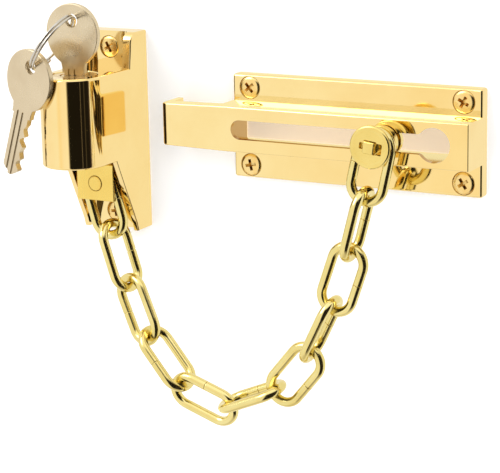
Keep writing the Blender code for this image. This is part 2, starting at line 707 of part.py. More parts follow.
def track():
    plate = box(TRACK_X0, TRACK_X1, -TRACK_T, 0.0, TRACK_Z0, TRACK_Z1)
    bevel(plate, lambda middle, direction: middle.y < -TRACK_T + 0.01 or abs(direction.y) > 0.9,
          width=0.9, segments=2)
    # hollow behind the channel, open to the wall
    hollow = box(TRACK_X0 + 2.9, TRACK_X1 - 1.9, CHANNEL_Y + CHANNEL_WALL, 3.0,
                 CHANNEL_Z0 + 1.9, CHANNEL_Z1 - 1.9)
    holes = [countersink(x, z, -TRACK_T, 9.0) for x in TRACK_SCREW_X for z in TRACK_SCREW_Z]
    combine("track_plate", plate, TRACK_METAL, adds=[track_channel(), track_tongue()],
            cuts=[hollow, track_slot()] + holes)


# ================================================================= BUTTON
BUTTON_ORIGIN = (BUTTON_X, LAST_LINK_Y, CHANNEL_Z)
BUTTON_AXIS = (BUTTON_X, 0, CHANNEL_Z)
HEAD_R = 5.0
NECK_R = 2.85
COLLAR_R = 5.6
WASHER_R = 6.95
TANG_HALF = 1.9              # half side of the square tang


def button_stud():
    """One-piece stud: head behind the slot lips, neck, shank, square tang."""
    lip_y = CHANNEL_Y + CHANNEL_WALL
    neck_y, shank_y = CHANNEL_Y - 0.4, -24.6
    profile = [(0, lip_y + 2.7), (HEAD_R - 0.3, lip_y + 2.7), (HEAD_R, lip_y + 2.4),
               (HEAD_R, lip_y + 0.5), (NECK_R, lip_y + 0.5), (NECK_R, neck_y),
               (STUD_R, neck_y), (STUD_R, shank_y), (0, shank_y)]
    stud = revolve(profile, BUTTON_AXIS, "Y", 28)
    corners = [(-TANG_HALF, -TANG_HALF), (TANG_HALF, -TANG_HALF),
               (TANG_HALF, TANG_HALF), (-TANG_HALF, TANG_HALF)]
    tang = prism(corners, "Y", -27.4, -24.0)
    bmesh.ops.rotate(tang, verts=tang.verts, cent=(0, 0, 0),
                     matrix=Matrix.Rotation(math.radians(8), 3, "Y"))
    bmesh.ops.translate(tang, verts=tang.verts, vec=BUTTON_AXIS)
    bevel(tang, lambda middle, direction: middle.y < -27.3, width=0.35, segments=1)
    combine("button_stud", stud, BUTTON_METAL, adds=[tang], origin=BUTTON_ORIGIN)


def button_rings():
    """Collar between the track and the last link, washer in front of the link."""
    collar = tube(COLLAR_R, STUD_R + 0.15, -18.9, -16.3, BUTTON_AXIS, "Y", 32, chamfer=0.3)
    washer = tube(WASHER_R, 2.95, -26.3, -24.75, BUTTON_AXIS, "Y", 36, chamfer=0.3)
    for name, bm in (("button_collar", collar), ("button_washer", washer)):
        smooth(make_object(name, bm, BUTTON_METAL, BUTTON_ORIGIN))


# ================================================================= KEYS
KEY_HOLE_Z = 17.6            # key hole centre above the shoulder
KEY_HOLE_R = 2.3
KEY_GROOVES = (              # side of the key (sign of y), x from, x to
    (-1, -2.0, -0.9),
    (-1, 0.3, 1.3),
    (1, -1.1, 0.2),
)
GROOVE_DEPTH = 0.38


def key_outline():
    """Outline in (x, z), z = 0 at the shoulder, blade down, tumbler cuts on the +X edge."""
    bow_z, bow_rx, bow_rz_up, bow_rz_down = 13.3, 10.1, 10.0, 11.2
    neck = 4.4
    tip_z = -BLADE_LENGTH + 2.6
    bow = []
    for i in range(17):
        angle = math.radians(90 - 152 * i / 16)
        bow_rz = bow_rz_up if angle > 0 else bow_rz_down
        bow.append((bow_rx * math.cos(angle), bow_z + bow_rz * math.sin(angle)))
    outline = bow + [(neck, 1.6), (neck, 0.0), (BLADE_HALF_W, 0.0)]
    for i, depth in enumerate(KEY_CUT_DEPTHS):
        z = -2.4 - TUMBLER_PITCH * i
        outline += [(BLADE_HALF_W, z), (BLADE_HALF_W - depth, z - 1.5),
                    (BLADE_HALF_W - depth, z - 2.3), (BLADE_HALF_W, z - 3.8)]
    outline += [(BLADE_HALF_W, tip_z), (0.6, -BLADE_LENGTH), (-0.6, -BLADE_LENGTH),
                (-BLADE_HALF_W, tip_z), (-BLADE_HALF_W, 0.0), (-neck, 0.0), (-neck, 1.6)]
    return outline + [(-x, z) for x, z in reversed(bow[1:])]


def key(name, placement, pivot):
    """Flat key; placement maps local mm (x across, y thickness, z up) to world mm."""
    blank = prism(key_outline(), "Y", -KEY_HALF_T, KEY_HALF_T)
    bevel(blank, lambda middle, direction: abs(direction.y) < 0.3 and middle.z > 1.0,
          width=0.22, segments=1)
    cuts = [cylinder(KEY_HOLE_R, 8.0, (0, -4.0, KEY_HOLE_Z), "Y", 24)]
    for side, x0, x1 in KEY_GROOVES:
        y0, y1 = sorted((side * (KEY_HALF_T - GROOVE_DEPTH), side * (KEY_HALF_T + 1.0)))
        cuts.append(box(x0, x1, y0, y1, -BLADE_LENGTH - 3, 1.4))
    for bm in [blank] + cuts:
        bmesh.ops.transform(bm, matrix=placement, verts=bm.verts)
    combine(name, blank, KEY_METAL, cuts=cuts, origin=pivot)


def key_ring(lock_hole, spare_hole):
    """Split ring: nearly two close turns of wire through both key holes."""
    radius, wire_r, pitch = 10.75, 0.47, 1.05
    turns, steps, start_angle = 1.93, 52, math.pi * 0.55
    cross_start, cross_share = 0.44, 0.12      # where the crossover lies, as shares of the wire
    along = (spare_hole - lock_hole).normalized()
    lean = Vector((-0.46, 0.774, -0.434))      # the ring's plane holds this and `along`
    lean = (lean - along * lean.dot(along)).normalized()
    normal = along.cross(lean).normalized()
    centre = (lock_hole + spare_hole) / 2 + Vector((0.59, -0.80, 0.41))
    points = []
    for i in range(steps + 1):
        share = i / steps
        angle = 2 * math.pi * turns * share + start_angle
        # flat turns with a short smooth crossover, so the coils stay side by side
        cross = min(max((share - cross_start) / cross_share, 0.0), 1.0)
        offset = -pitch / 2 + pitch * (cross * cross * (3 - 2 * cross))
        points.append(centre + along * (radius * math.cos(angle))
                      + lean * (radius * math.sin(angle)) + normal * offset)
    wire = sweep(points, wire_r, 7, closed=False, up=normal)
    smooth(make_object("key_ring", wire, RING_METAL, lock_hole), 60)


def keys_and_ring():
    shoulder = Vector((0.0, LOCK_Y, BARREL_TOP + 0.5))
    lock_hole = shoulder + Vector((0, 0, KEY_HOLE_Z))
    key("key_in_lock", Matrix.Translation(shoulder), shoulder)
    # the spare hangs from the ring in front of the barrel
    spare_hole = lock_hole + Vector((-8.07, -12.78, -14.25))
    yaw = Matrix.Rotation(math.radians(-11.3), 4, "Z")
    lean = Matrix.Rotation(math.radians(19.0), 4, "Y")
    to_hole = Matrix.Translation(Vector((0, 0, -KEY_HOLE_Z)))
    key("key_spare", Matrix.Translation(spare_hole) @ (yaw @ lean) @ to_hole, spare_hole)
    key_ring(lock_hole, spare_hole)


# ================================================================= BUILD
SCREWS = (  # name, x, z, y of the head plane, length, turn of the recess in degrees
    ("keeper_screw_upper", 0.0, KEEPER_SCREW_Z, -UPPER_FLOOR, 22.0, 28),
    ("keeper_screw_lower", 0.0, -KEEPER_SCREW_Z, -LOWER_FLOOR, 22.0, 5),
    ("track_screw_upper_left", TRACK_SCREW_X[0], TRACK_SCREW_Z[1], -TRACK_T, 20.0, 40),
    ("track_screw_lower_left", TRACK_SCREW_X[0], TRACK_SCREW_Z[0], -TRACK_T, 20.0, 12),
    ("track_screw_upper_right", TRACK_SCREW_X[1], TRACK_SCREW_Z[1], -TRACK_T, 20.0, 62),
    ("track_screw_lower_right", TRACK_SCREW_X[1], TRACK_SCREW_Z[0], -TRACK_T, 20.0, 33),
)

keeper_housing()
keeper_back_plate()
lock_shell()
lock_plug()
tumbler_wafers()
retaining_clip()
lock_cam()
latch_bolt()
anchor_block()
anchor_pin()
chain()
track()
button_stud()
button_rings()
keys_and_ring()
for screw_row in SCREWS:
    screw(*screw_row)
bpy.context.view_layer.update()
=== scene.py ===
# Keyed door chain guard: a keeper housing with lock, key and spare, a slotted track, and a chain
# that hangs from an anchor under the housing and ends in a button riding in the track.
# It is mounted on a wall at y = 0: X runs along the wall, Z is up, and the front faces -Y.
# Shapes are worked in millimetres, with the middle of the housing at x = z = 0.
import json
import math
import bpy
import bmesh
import numpy as np
from mathutils import Matrix, Vector


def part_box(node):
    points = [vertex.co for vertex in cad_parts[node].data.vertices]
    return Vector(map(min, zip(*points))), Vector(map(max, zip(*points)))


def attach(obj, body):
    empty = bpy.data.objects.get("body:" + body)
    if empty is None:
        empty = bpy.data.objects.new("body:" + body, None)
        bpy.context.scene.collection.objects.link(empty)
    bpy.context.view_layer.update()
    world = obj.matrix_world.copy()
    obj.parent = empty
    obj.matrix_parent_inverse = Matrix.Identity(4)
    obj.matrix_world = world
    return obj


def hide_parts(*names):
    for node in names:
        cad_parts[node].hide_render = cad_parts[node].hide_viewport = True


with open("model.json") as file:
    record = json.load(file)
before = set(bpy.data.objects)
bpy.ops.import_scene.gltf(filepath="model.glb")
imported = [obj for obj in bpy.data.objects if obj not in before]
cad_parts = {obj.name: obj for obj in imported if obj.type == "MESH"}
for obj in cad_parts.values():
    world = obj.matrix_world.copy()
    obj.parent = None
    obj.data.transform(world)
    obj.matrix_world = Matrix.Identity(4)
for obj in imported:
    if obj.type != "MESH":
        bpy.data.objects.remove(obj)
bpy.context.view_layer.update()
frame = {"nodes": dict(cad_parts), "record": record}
MM = 0.001
NODES = frame["nodes"]
BODY_OF = {n: b for b, ns in frame["record"]["behaviour"]["bodies"].items() for n in ns}
COLLECTION = bpy.context.scene.collection


# ------------------------------------------------------------------ shader helpers
class Shader:
    """Short calls for building one node tree. An input is either a socket to link or a value."""

    def __init__(self, tree):
        self.tree = tree

    def feed(self, socket, value):
        if isinstance(value, bpy.types.NodeSocket):
            self.tree.links.new(value, socket)
        else:
            socket.default_value = value

    def node(self, kind, inputs=None, **props):
        made = self.tree.nodes.new("ShaderNode" + kind)
        for prop, value in props.items():
            setattr(made, prop, value)
        for key, value in (inputs or {}).items():
            self.feed(made.inputs[key], value)
        return made

    def noise(self, vector, scale, detail, roughness=0.5):
        return self.node("TexNoise", {"Vector": vector, "Scale": scale, "Detail": detail,
                                      "Roughness": roughness}).outputs[0]

    def split(self, vector):
        return self.node("SeparateXYZ", {0: vector}).outputs

    def math(self, operation, *values):
        return self.node("Math", dict(enumerate(values)), operation=operation).outputs[0]

    def ramp(self, source, stops):
        """Stops are (position, grey) or (position, colour)."""
        made = self.node("ValToRGB", {0: source})
        elements = made.color_ramp.elements
        while len(elements) < len(stops):
            elements.new(0.5)
        for element, (position, tone) in zip(elements, stops):
            element.position = position
            element.color = (*tone, 1) if isinstance(tone, tuple) else (tone, tone, tone, 1)
        return made.outputs[0]

    def mix(self, factor, first, second):
        first, second = ((*c, 1) if isinstance(c, tuple) else c for c in (first, second))
        # inputs 6 and 7 are the two colours, output 2 the mixed one
        return self.node("Mix", {0: factor, 6: first, 7: second}, data_type="RGBA").outputs[2]

    def inside(self, vector, limits):
        """1 where the vector lies within the limits {axis: (low, high)}, else 0."""
        parts = self.split(vector)
        mask = None
        for axis, (low, high) in limits.items():
            for operation, limit in (("GREATER_THAN", low), ("LESS_THAN", high)):
                test = self.math(operation, parts[axis], limit)
                mask = test if mask is None else self.math("MULTIPLY", mask, test)
        return mask


def new_material(name):
    mat = bpy.data.materials.new(name)
    mat.use_nodes = True
    return mat, Shader(mat.node_tree), mat.node_tree.nodes["Principled BSDF"]


# ------------------------------------------------------------------ metals
PEEL_DEPTH, GRAIN_DEPTH = 0.0004, 0.00006    # bump distances, metres
FACING = 0.985                               # normal component above which a face counts as flat on


def leaning_normal(sh, place, axis, amounts, depth):
    """Tip the normals of faces looking along +axis towards -Y.

    The lean runs from amounts[0] at y = depth[0] to amounts[1] at y = depth[1].
    Returns the normal and the mask of the faces it acts on."""
    geometry = sh.node("NewGeometry").outputs
    face = sh.math("GREATER_THAN", sh.split(geometry["True Normal"])[axis], FACING)
    # map range inputs: value, from min, from max, to min, to max
    amount = sh.node("MapRange", {0: sh.split(place)[1], 1: depth[0], 2: depth[1],
                                  3: amounts[0], 4: amounts[1]}).outputs[0]
    forward = sh.math("MULTIPLY", face, sh.math("MULTIPLY", amount, -1.0))
    shift = sh.node("CombineXYZ", {1: forward}).outputs[0]
    total = sh.node("VectorMath", {0: geometry["Normal"], 1: shift}, operation="ADD").outputs[0]
    return sh.node("VectorMath", {0: total}, operation="NORMALIZE").outputs[0], face


def metal(name, base, dark, rough, rough_vary, bump, grain, peel, stretch=(1.0, 1.0, 1.0),
          scratches=0.0, crease_darkening=0.0, lean=None, painted_face_highlight=None, painted_shade_hollow=None):
    """Plated or bare metal: colour drift, patchy roughness, orange peel, fine grain, scratches.

    grain and peel are noise scales; stretch scales the grain; scratches adds to the roughness;
    hollow gives the limits, in metres, of a region painted darker as shade and made rougher."""
    mat, sh, bsdf = new_material(name)
    place = sh.node("TexCoord").outputs["Object"]
    stretched = sh.node("Mapping", {"Vector": place, "Scale": stretch}).outputs[0]
    patches = sh.noise(place, scale=70.0, detail=4.0, roughness=0.55)
    fine = sh.noise(stretched, scale=grain, detail=3.0, roughness=0.6)
    wave = sh.noise(place, scale=peel, detail=1.0, roughness=0.4)

    drift = sh.ramp(patches, [(0.35, 0.0), (0.70, 1.0)])
    colour = sh.mix(drift, base, dark)
    roughness = sh.math("MULTIPLY_ADD", drift, rough_vary, rough)
    if crease_darkening:
        # darker colour in concave creases, found by pointiness
        creases = sh.ramp(sh.node("NewGeometry").outputs["Pointiness"], [(0.40, 1.0), (0.50, 0.0)])
        crease_colour = (dark[0] * 0.32, dark[1] * 0.26, dark[2] * 0.22)
        colour = sh.mix(sh.math("MULTIPLY", creases, crease_darkening), colour, crease_colour)
    if painted_shade_hollow:
        # paint the region inside the track's channel darker, as painted shade, and make it rougher
        within = sh.inside(place, painted_shade_hollow)
        colour = sh.mix(within, colour, (base[0] * 0.60, base[1] * 0.46, base[2] * 0.34))
        roughness = sh.math("MULTIPLY_ADD", within, 0.14, roughness)
    roughness = sh.math("MULTIPLY_ADD", fine, rough_vary * 0.8, roughness)
    if scratches:
        # noise drawn out along one slanting direction
        streaks = sh.node("Mapping", {"Vector": place, "Rotation": (0.3, 0.7, 0.9),
                                      "Scale": (2600.0, 60.0, 2600.0)}).outputs[0]
        lines = sh.ramp(sh.noise(streaks, scale=1.0, detail=2.0), [(0.66, 0.0), (0.72, 1.0)])
        roughness = sh.math("MULTIPLY_ADD", lines, scratches, roughness)

    peel_bump = sh.node("Bump", {"Height": wave, "Strength": bump, "Distance": PEEL_DEPTH})
    grain_bump = sh.node("Bump", {"Height": fine, "Strength": bump * 0.6, "Distance": GRAIN_DEPTH,
                                  "Normal": peel_bump.outputs[0]})
    if lean:
        normal, face = leaning_normal(sh, place, **lean)
        sh.feed(peel_bump.inputs["Normal"], normal)
        # paint a lighter, yellower colour onto the faces the lean tips: a painted highlight
        if painted_face_highlight:
            colour = sh.mix(sh.math("MULTIPLY", face, 0.8), colour, painted_face_highlight)
    sh.feed(bsdf.inputs["Base Color"], colour)
    sh.feed(bsdf.inputs["Metallic"], 1.0)
    sh.feed(bsdf.inputs["Roughness"], roughness)
    sh.feed(bsdf.inputs["Normal"], grain_bump.outputs[0])
    return mat


POLISHED = dict(rough=0.035, rough_vary=0.030, bump=0.010, grain=1400.0, peel=120.0,
                scratches=0.05)

GOLD_KEEPER = metal(
    "polished_gold_keeper", base=(0.965, 0.755, 0.355), dark=(0.945, 0.715, 0.315),
    lean=dict(axis=0, amounts=(0.095, 0.160), depth=(-0.0270, -0.0165)), **POLISHED)
GOLD_TRACK = metal(
    "polished_gold_track", base=(0.965, 0.765, 0.365), dark=(0.945, 0.725, 0.325),
    # painted highlight colour on the track's top faces
    lean=dict(axis=2, amounts=(0.30, 0.30), depth=(-0.02, 0.0)), painted_face_highlight=(1.0, 0.88, 0.46),
    # region inside the channel, painted darker as shade
    painted_shade_hollow={0: (0.0499, 0.1343), 1: (-0.01566, -0.00001), 2: (-0.0003, 0.0113)}, **POLISHED)
BLOCK = metal(
    "satin_gold_block", base=(0.93, 0.70, 0.20), dark=(0.88, 0.62, 0.155), rough=0.20,
    rough_vary=0.08, bump=0.03, grain=2200.0, peel=400.0, stretch=(1.0, 1.0, 0.08), scratches=0.06)
CHAIN = metal(
    "polished_brass_chain", base=(0.885, 0.765, 0.345), dark=(0.80, 0.665, 0.25), rough=0.10,
    rough_vary=0.07, bump=0.03, grain=1600.0, peel=300.0, scratches=0.10, crease_darkening=0.5)
BUTTON = metal(
    "turned_brass_button", base=(0.91, 0.735, 0.27), dark=(0.82, 0.63, 0.19), rough=0.13,
    rough_vary=0.07, bump=0.03, grain=2000.0, peel=300.0, scratches=0.08)
SCREW = metal(
    "bright_plated_screw", base=(0.96, 0.72, 0.31), dark=(0.90, 0.62, 0.22), rough=0.16,
    rough_vary=0.08, bump=0.03, grain=1800.0, peel=350.0, crease_darkening=0.8)
NICKEL = metal(
    "nickel_silver_key", base=(0.76, 0.645, 0.455), dark=(0.66, 0.545, 0.37), rough=0.20,
    rough_vary=0.10, bump=0.06, grain=900.0, peel=500.0, stretch=(3.0, 1.0, 0.16), scratches=0.12)
WIRE = metal(
    "steel_ring_wire", base=(0.74, 0.71, 0.65), dark=(0.62, 0.58, 0.52), rough=0.10,
    rough_vary=0.06, bump=0.03, grain=1800.0, peel=500.0, scratches=0.10)
LOCK = metal(
    "machined_lock_brass", base=(0.86, 0.66, 0.33), dark=(0.74, 0.53, 0.23), rough=0.20,
    rough_vary=0.08, bump=0.05, grain=1800.0, peel=400.0, scratches=0.06)
STEEL = metal(
    "zinc_plated_steel", base=(0.62, 0.63, 0.64), dark=(0.50, 0.51, 0.53), rough=0.26,
    rough_vary=0.12, bump=0.06, grain=1500.0, peel=350.0, scratches=0.12)
SPRING = metal(
    "spring_steel", base=(0.55, 0.55, 0.56), dark=(0.44, 0.44, 0.46), rough=0.22,
    rough_vary=0.10, bump=0.04, grain=1500.0, peel=350.0, scratches=0.10)


# ------------------------------------------------------------------ mesh helpers, in millimetres
def to_mesh(bm, name):
    """Move a bmesh into a new mesh and free it."""
    mesh = bpy.data.meshes.new(name)
    bm.to_mesh(mesh)
    bm.free()
    return mesh


def outward(bm):
    bmesh.ops.recalc_face_normals(bm, faces=bm.faces)
    return bm


def add_piece(name, bm, mat, body, cad, angle=32.0, weighted=True):
    """Turn a bmesh into a finished piece, in metres, that takes the place of a CAD node."""
    bmesh.ops.scale(bm, verts=bm.verts, vec=(MM, MM, MM))
    ob = bpy.data.objects.new(name, to_mesh(outward(bm), name))
    COLLECTION.objects.link(ob)
    ob.data.materials.append(mat)
    ob.data.shade_smooth()
    ob.data.set_sharp_from_angle(angle=math.radians(angle))
    if weighted:
        mod = ob.modifiers.new("WeightedNormal", "WEIGHTED_NORMAL")
        mod.keep_sharp = True
        mod.mode = "FACE_AREA"
        mod.weight = 100
    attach(ob, body)
    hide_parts(cad)


def on_axis(axis, u, v, along):
    """Point at `along` on the axis, with u and v on the other two axes in order."""
    return {"X": (along, u, v), "Y": (u, along, v), "Z": (u, v, along)}[axis]


def skin(bm, rings, closed=False):
    """Join each ring of vertices to the next; a ring of one vertex is a pole."""
    following = rings[1:] + rings[:1] if closed else rings[1:]
    for a, b in zip(rings, following):
        count = max(len(a), len(b))
        for i in range(count):
            j = (i + 1) % count
            if len(a) == 1:
                bm.faces.new((a[0], b[i], b[j]))
            elif len(b) == 1:
                bm.faces.new((a[i], b[0], a[j]))
            else:
                bm.faces.new((a[i], a[j], b[j], b[i]))


def cap(bm, rings):
    bm.faces.new(rings[0])
    bm.faces.new(rings[-1])


def prism(points, axis, start, end):
    bm = bmesh.new()
    rings = [[bm.verts.new(on_axis(axis, *p, along)) for p in points] for along in (start, end)]
    cap(bm, rings)
    skin(bm, rings)
    return outward(bm)


def box(x0, x1, y0, y1, z0, z1):
    return prism([(x0, y0), (x1, y0), (x1, y1), (x0, y1)], "Z", z0, z1)


def revolve(profile, centre, axis, count, closed=False):
    """Turn a profile of (radius, height). It starts and ends at radius 0, unless closed."""
    bm = bmesh.new()

    def vertex(radius, angle, height):
        offset = on_axis(axis, radius * math.cos(angle), radius * math.sin(angle), height)
        return bm.verts.new([c + o for c, o in zip(centre, offset)])

    rings = [[vertex(radius, 2 * math.pi * i / count, height)
              for i in range(count if radius > 0 else 1)] for radius, height in profile]
    skin(bm, rings, closed)
    return outward(bm)


def tube(points, radii, normal, around, closed):
    """Sweep round wire along points. The normal of a closed path is that of its plane."""
    bm = bmesh.new()
    last = len(points) - 1
    rings = []
    for k, (point, radius) in enumerate(zip(points, radii)):
        if closed:
            tangent = (points[(k + 1) % len(points)] - points[k - 1]).normalized()
            side = normal
        else:
            tangent = (points[min(k + 1, last)] - points[max(k - 1, 0)]).normalized()
            side = (normal - tangent * normal.dot(tangent)).normalized()
        other = tangent.cross(side).normalized()
        rings.append([bm.verts.new(point + side * (radius * math.cos(2 * math.pi * i / around)) +
                                   other * (radius * math.sin(2 * math.pi * i / around)))
                      for i in range(around)])
    skin(bm, rings, closed)
    if not closed:
        cap(bm, rings)
    return outward(bm)


def bevel(bm, pick, width, segments):
    """Round the edges, sharper than 20 degrees, that pick(middle, direction) selects."""
    edges = []
    for edge in bm.edges:
        start, end = (v.co for v in edge.verts)
        sharp = len(edge.link_faces) == 2 and edge.calc_face_angle(0.0) > math.radians(20)
        if sharp and pick((start + end) / 2, (end - start).normalized()):
            edges.append(edge)
    if edges:
        bmesh.ops.bevel(bm, geom=edges, offset=width, offset_type="OFFSET", segments=segments,
                        profile=0.5, affect="EDGES", clamp_overlap=True)


def arc(cx, cy, radius, start, end, steps):
    """Points on an arc, both ends included; angles in degrees."""
    angles = [math.radians(start + (end - start) * i / steps) for i in range(steps + 1)]
    return [(cx + radius * math.cos(a), cy + radius * math.sin(a)) for a in angles]


def boolean(base, adds, cuts):
    """Add and cut solids, then merge flat regions into single faces."""
    def temporary(bm, name):
        ob = bpy.data.objects.new(name, to_mesh(bm, name))
        COLLECTION.objects.link(ob)
        return ob

    ob = temporary(base, "tmp_base")
    used = [ob]
    for operation, solids in (("UNION", adds), ("DIFFERENCE", cuts)):
        for i, solid in enumerate(solids):
            label = operation + str(i)
            mod = ob.modifiers.new(label, "BOOLEAN")
            mod.operation = operation
            mod.solver = "EXACT"
            mod.object = temporary(solid, "tmp_" + label)
            used.append(mod.object)
    graph = bpy.context.evaluated_depsgraph_get()
    graph.update()
    mesh = bpy.data.meshes.new_from_object(ob.evaluated_get(graph))
    bm = bmesh.new()
    bm.from_mesh(mesh)
    bpy.data.meshes.remove(mesh)
    for spent in used:
        data = spent.data
        bpy.data.objects.remove(spent, do_unlink=True)
        bpy.data.meshes.remove(data)
    bmesh.ops.remove_doubles(bm, verts=bm.verts, dist=0.002)
    bmesh.ops.dissolve_degenerate(bm, dist=0.001, edges=bm.edges)
    bmesh.ops.dissolve_limit(bm, angle_limit=math.radians(0.4), verts=bm.verts, edges=bm.edges,
                             delimit={"NORMAL"})
    return outward(bm)


# ------------------------------------------------------------------ keeper housing
HOUSING_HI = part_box("keeper_housing")[1]
HALF_W, HALF_H = HOUSING_HI.x / MM, HOUSING_HI.z / MM
BARREL_Y, BARREL_R = -29.5, 11.2          # axis and radius of the rounded front
BARREL_Z0, BARREL_Z1 = -7.8, 22.7
LOCK_Y, BORE_R = -28.0, 7.8
CAVITY_Z0 = -5.8                          # floor of the lock bore and of the pocket behind it
RIM_Y, TAPER_Y, TAPER_END = -11.0, -21.0, (-9.5, -31.7)    # TAPER_END is (y, z)
UPPER_FLOOR_Y, LOWER_FLOOR_Y = -6.0, -5.2    # recess floors above and below the barrel
UPPER_WALL, LOWER_WALL = 3.2, 2.0            # side walls of those recesses
SCREW_Z, BACK_PLATE_T = 29.0, 1.2
SHOULDER_Y, SHOULDER_RUN, SHOULDER_DROP = -6.6, 3.6, 4.6    # rounded top front edge


def screw_seat(x, face_y, z, depth):
    """Cutter for a countersunk hole, starting 1 mm in front of the face."""
    return revolve([(0, 0), (4.02, 0), (3.90, 0.9), (3.85, 1.1), (3.85, 1.35), (2.45, 3.2),
                    (2.45, depth), (0, depth)], (x, face_y - 1.0, z), "Y", 48)


def recess_plan(half, floor_y, corner, open_y, steps):
    """(x, y) outline, open to the front, with rounded corners at its floor."""
    y = floor_y - corner
    return ([(-half, open_y), (-half, y)] + arc(-half + corner, y, corner, 180, 90, steps)[1:] +
            arc(half - corner, y, corner, 90, 0, steps) + [(half, open_y)])


def keeper_housing():
    plan = [(HALF_W, 0.0), (HALF_W, BARREL_Y)]
    plan += arc(0, BARREL_Y, BARREL_R, 0, -180, 96)[1:-1]
    plan += [(-HALF_W, BARREL_Y), (-HALF_W, 0.0)]
    barrel = prism(plan, "Z", BARREL_Z0, BARREL_Z1)
    bevel(barrel, lambda mid, way: abs(way.z) < 0.2 and mid.y < -1.0, 0.9, 5)

    side = [(0.0, -HALF_H), (0.0, HALF_H), (SHOULDER_Y, HALF_H)]    # (y, z)
    for i in range(1, 13):
        angle = i / 12 * math.pi / 2
        side.append((SHOULDER_Y - SHOULDER_RUN * math.sin(angle),
                     HALF_H - SHOULDER_DROP * (1 - math.cos(angle))))
    side += [(RIM_Y, BARREL_Z1 - 0.6), (RIM_Y, BARREL_Z0 + 3.0), (TAPER_Y, BARREL_Z0 + 3.0),
             (TAPER_Y, BARREL_Z0), TAPER_END, (TAPER_END[0] + 0.9, -HALF_H)]
    tall = prism(side, "X", -HALF_W, HALF_W)
    bevel(tall, lambda mid, way: abs(abs(mid.x) - HALF_W) < 0.01 and mid.y < -0.5 and
          not (BARREL_Z0 + 0.01 < mid.z < BARREL_Z1 - 1.0), 0.6, 4)

    upper = recess_plan(HALF_W - UPPER_WALL, UPPER_FLOOR_Y, corner=1.6, open_y=-30.0, steps=8)
    lower = recess_plan(HALF_W - LOWER_WALL, LOWER_FLOOR_Y, corner=1.0, open_y=-60.0, steps=6)
    cuts = [
        prism(upper, "Z", BARREL_Z1, HALF_H + 5),
        prism(lower, "Z", -HALF_H - 5, BARREL_Z0),
        # back plate seat, then the pocket between it and the lock
        box(-10.2, 10.2, -BACK_PLATE_T, 5.0, -33.6, 33.6),
        box(-8.0, 8.0, -24.0, -BACK_PLATE_T + 0.5, CAVITY_Z0, 16.0),
        # lock bore, slightly flared at the top
        revolve([(0, 0), (BORE_R, 0), (BORE_R, 28.2), (BORE_R + 0.3, 28.6), (BORE_R + 0.3, 40.0),
                 (0, 40.0)], (0, LOCK_Y, CAVITY_Z0), "Z", 72),
        # opening through the underside of the barrel
        box(-3.4, 3.4, -13.0, -8.2, BARREL_Z0 - 2.0, -4.8),
        screw_seat(0, UPPER_FLOOR_Y, SCREW_Z, 12.0),
        screw_seat(0, LOWER_FLOOR_Y, -SCREW_Z, 12.0),
    ]
    add_piece("keeper_housing_plated", boolean(barrel, [tall], cuts), GOLD_KEEPER,
              "keeper_and_track", "keeper_housing")


# ------------------------------------------------------------------ track
TRACK_X0, TRACK_X1, TRACK_Z0, TRACK_Z1, TRACK_T = 47.1, 136.1, -12.9, 22.1, 4.0
CHANNEL_Z, CHANNEL_HALF = 5.5, 7.6        # middle height and half height
CHANNEL_Y, CHANNEL_WALL = -15.7, 2.0      # front face and its thickness
TONGUE_X, TONGUE_T, TONGUE_R = 25.4, 5.0, 2.6
HOOK_Y, HOOK_T, HOOK_CHAMFER, HOOK_FILLET = -3.9, 2.6, 0.5, 0.8
TAPER_GAP, TAPER_RUN, TAPER_LOSS = 6, 12.0, 0.055    # the tongue narrows in height away from the track
SLOT_X0, SLOT_R = 55.5, 3.25
KEYHOLE_X, KEYHOLE_R, KEYHOLE_FILLET = 124.3, 5.65, 1.6
TRACK_SCREW_X, TRACK_SCREW_Z = (53.5, 129.8), (-8.5, 17.7)


def tongue_solid(z0, z1):
    """Arm from the channel towards the keeper, hooked back at its end."""
    root = TRACK_X0 + 4.0
    hook_x = TONGUE_X + HOOK_T
    plan = [(root, CHANNEL_Y)]
    plan += arc(TONGUE_X + TONGUE_R, CHANNEL_Y + TONGUE_R, TONGUE_R, 270, 180, 14)
    plan += [(TONGUE_X, HOOK_Y + HOOK_CHAMFER), (TONGUE_X + HOOK_CHAMFER, HOOK_Y),
             (hook_x - HOOK_CHAMFER, HOOK_Y), (hook_x, HOOK_Y - HOOK_CHAMFER)]
    plan += arc(hook_x + HOOK_FILLET, CHANNEL_Y + TONGUE_T + HOOK_FILLET, HOOK_FILLET,
                180, 270, 6)
    plan += [(root, CHANNEL_Y + TONGUE_T)]
    tongue = prism(plan, "Z", z0, z1)
    for vert in tongue.verts:
        beyond = TRACK_X0 - TAPER_GAP - vert.co.x
        if beyond > 0:
            shrink = 1 - TAPER_LOSS * min(1.0, beyond / TAPER_RUN)
            vert.co.z = CHANNEL_Z + (vert.co.z - CHANNEL_Z) * shrink
    bevel(tongue, lambda mid, way: abs(way.z) < 0.3 and mid.x < TRACK_X0 + 3.9 and
          (mid.y < CHANNEL_Y + 2.7 or mid.x < TONGUE_X + 1.0), 0.55, 4)
    return tongue


def keyhole_plan():
    """(x, z) outline of the slot, filleted into the round hole at its +X end."""
    fillet = KEYHOLE_FILLET
    angle = math.degrees(math.asin((SLOT_R + fillet) / (KEYHOLE_R + fillet)))
    fillet_x = KEYHOLE_X - (KEYHOLE_R + fillet) * math.cos(math.radians(angle))
    plan = arc(SLOT_X0, CHANNEL_Z, SLOT_R, 90, 270, 32)
    plan += arc(fillet_x, CHANNEL_Z - SLOT_R - fillet, fillet, 90, angle, 8)
    plan += arc(KEYHOLE_X, CHANNEL_Z, KEYHOLE_R, 180 + angle, 540 - angle, 56)[1:-1]
    plan += arc(fillet_x, CHANNEL_Z + SLOT_R + fillet, fillet, -angle, -90, 8)
    return plan


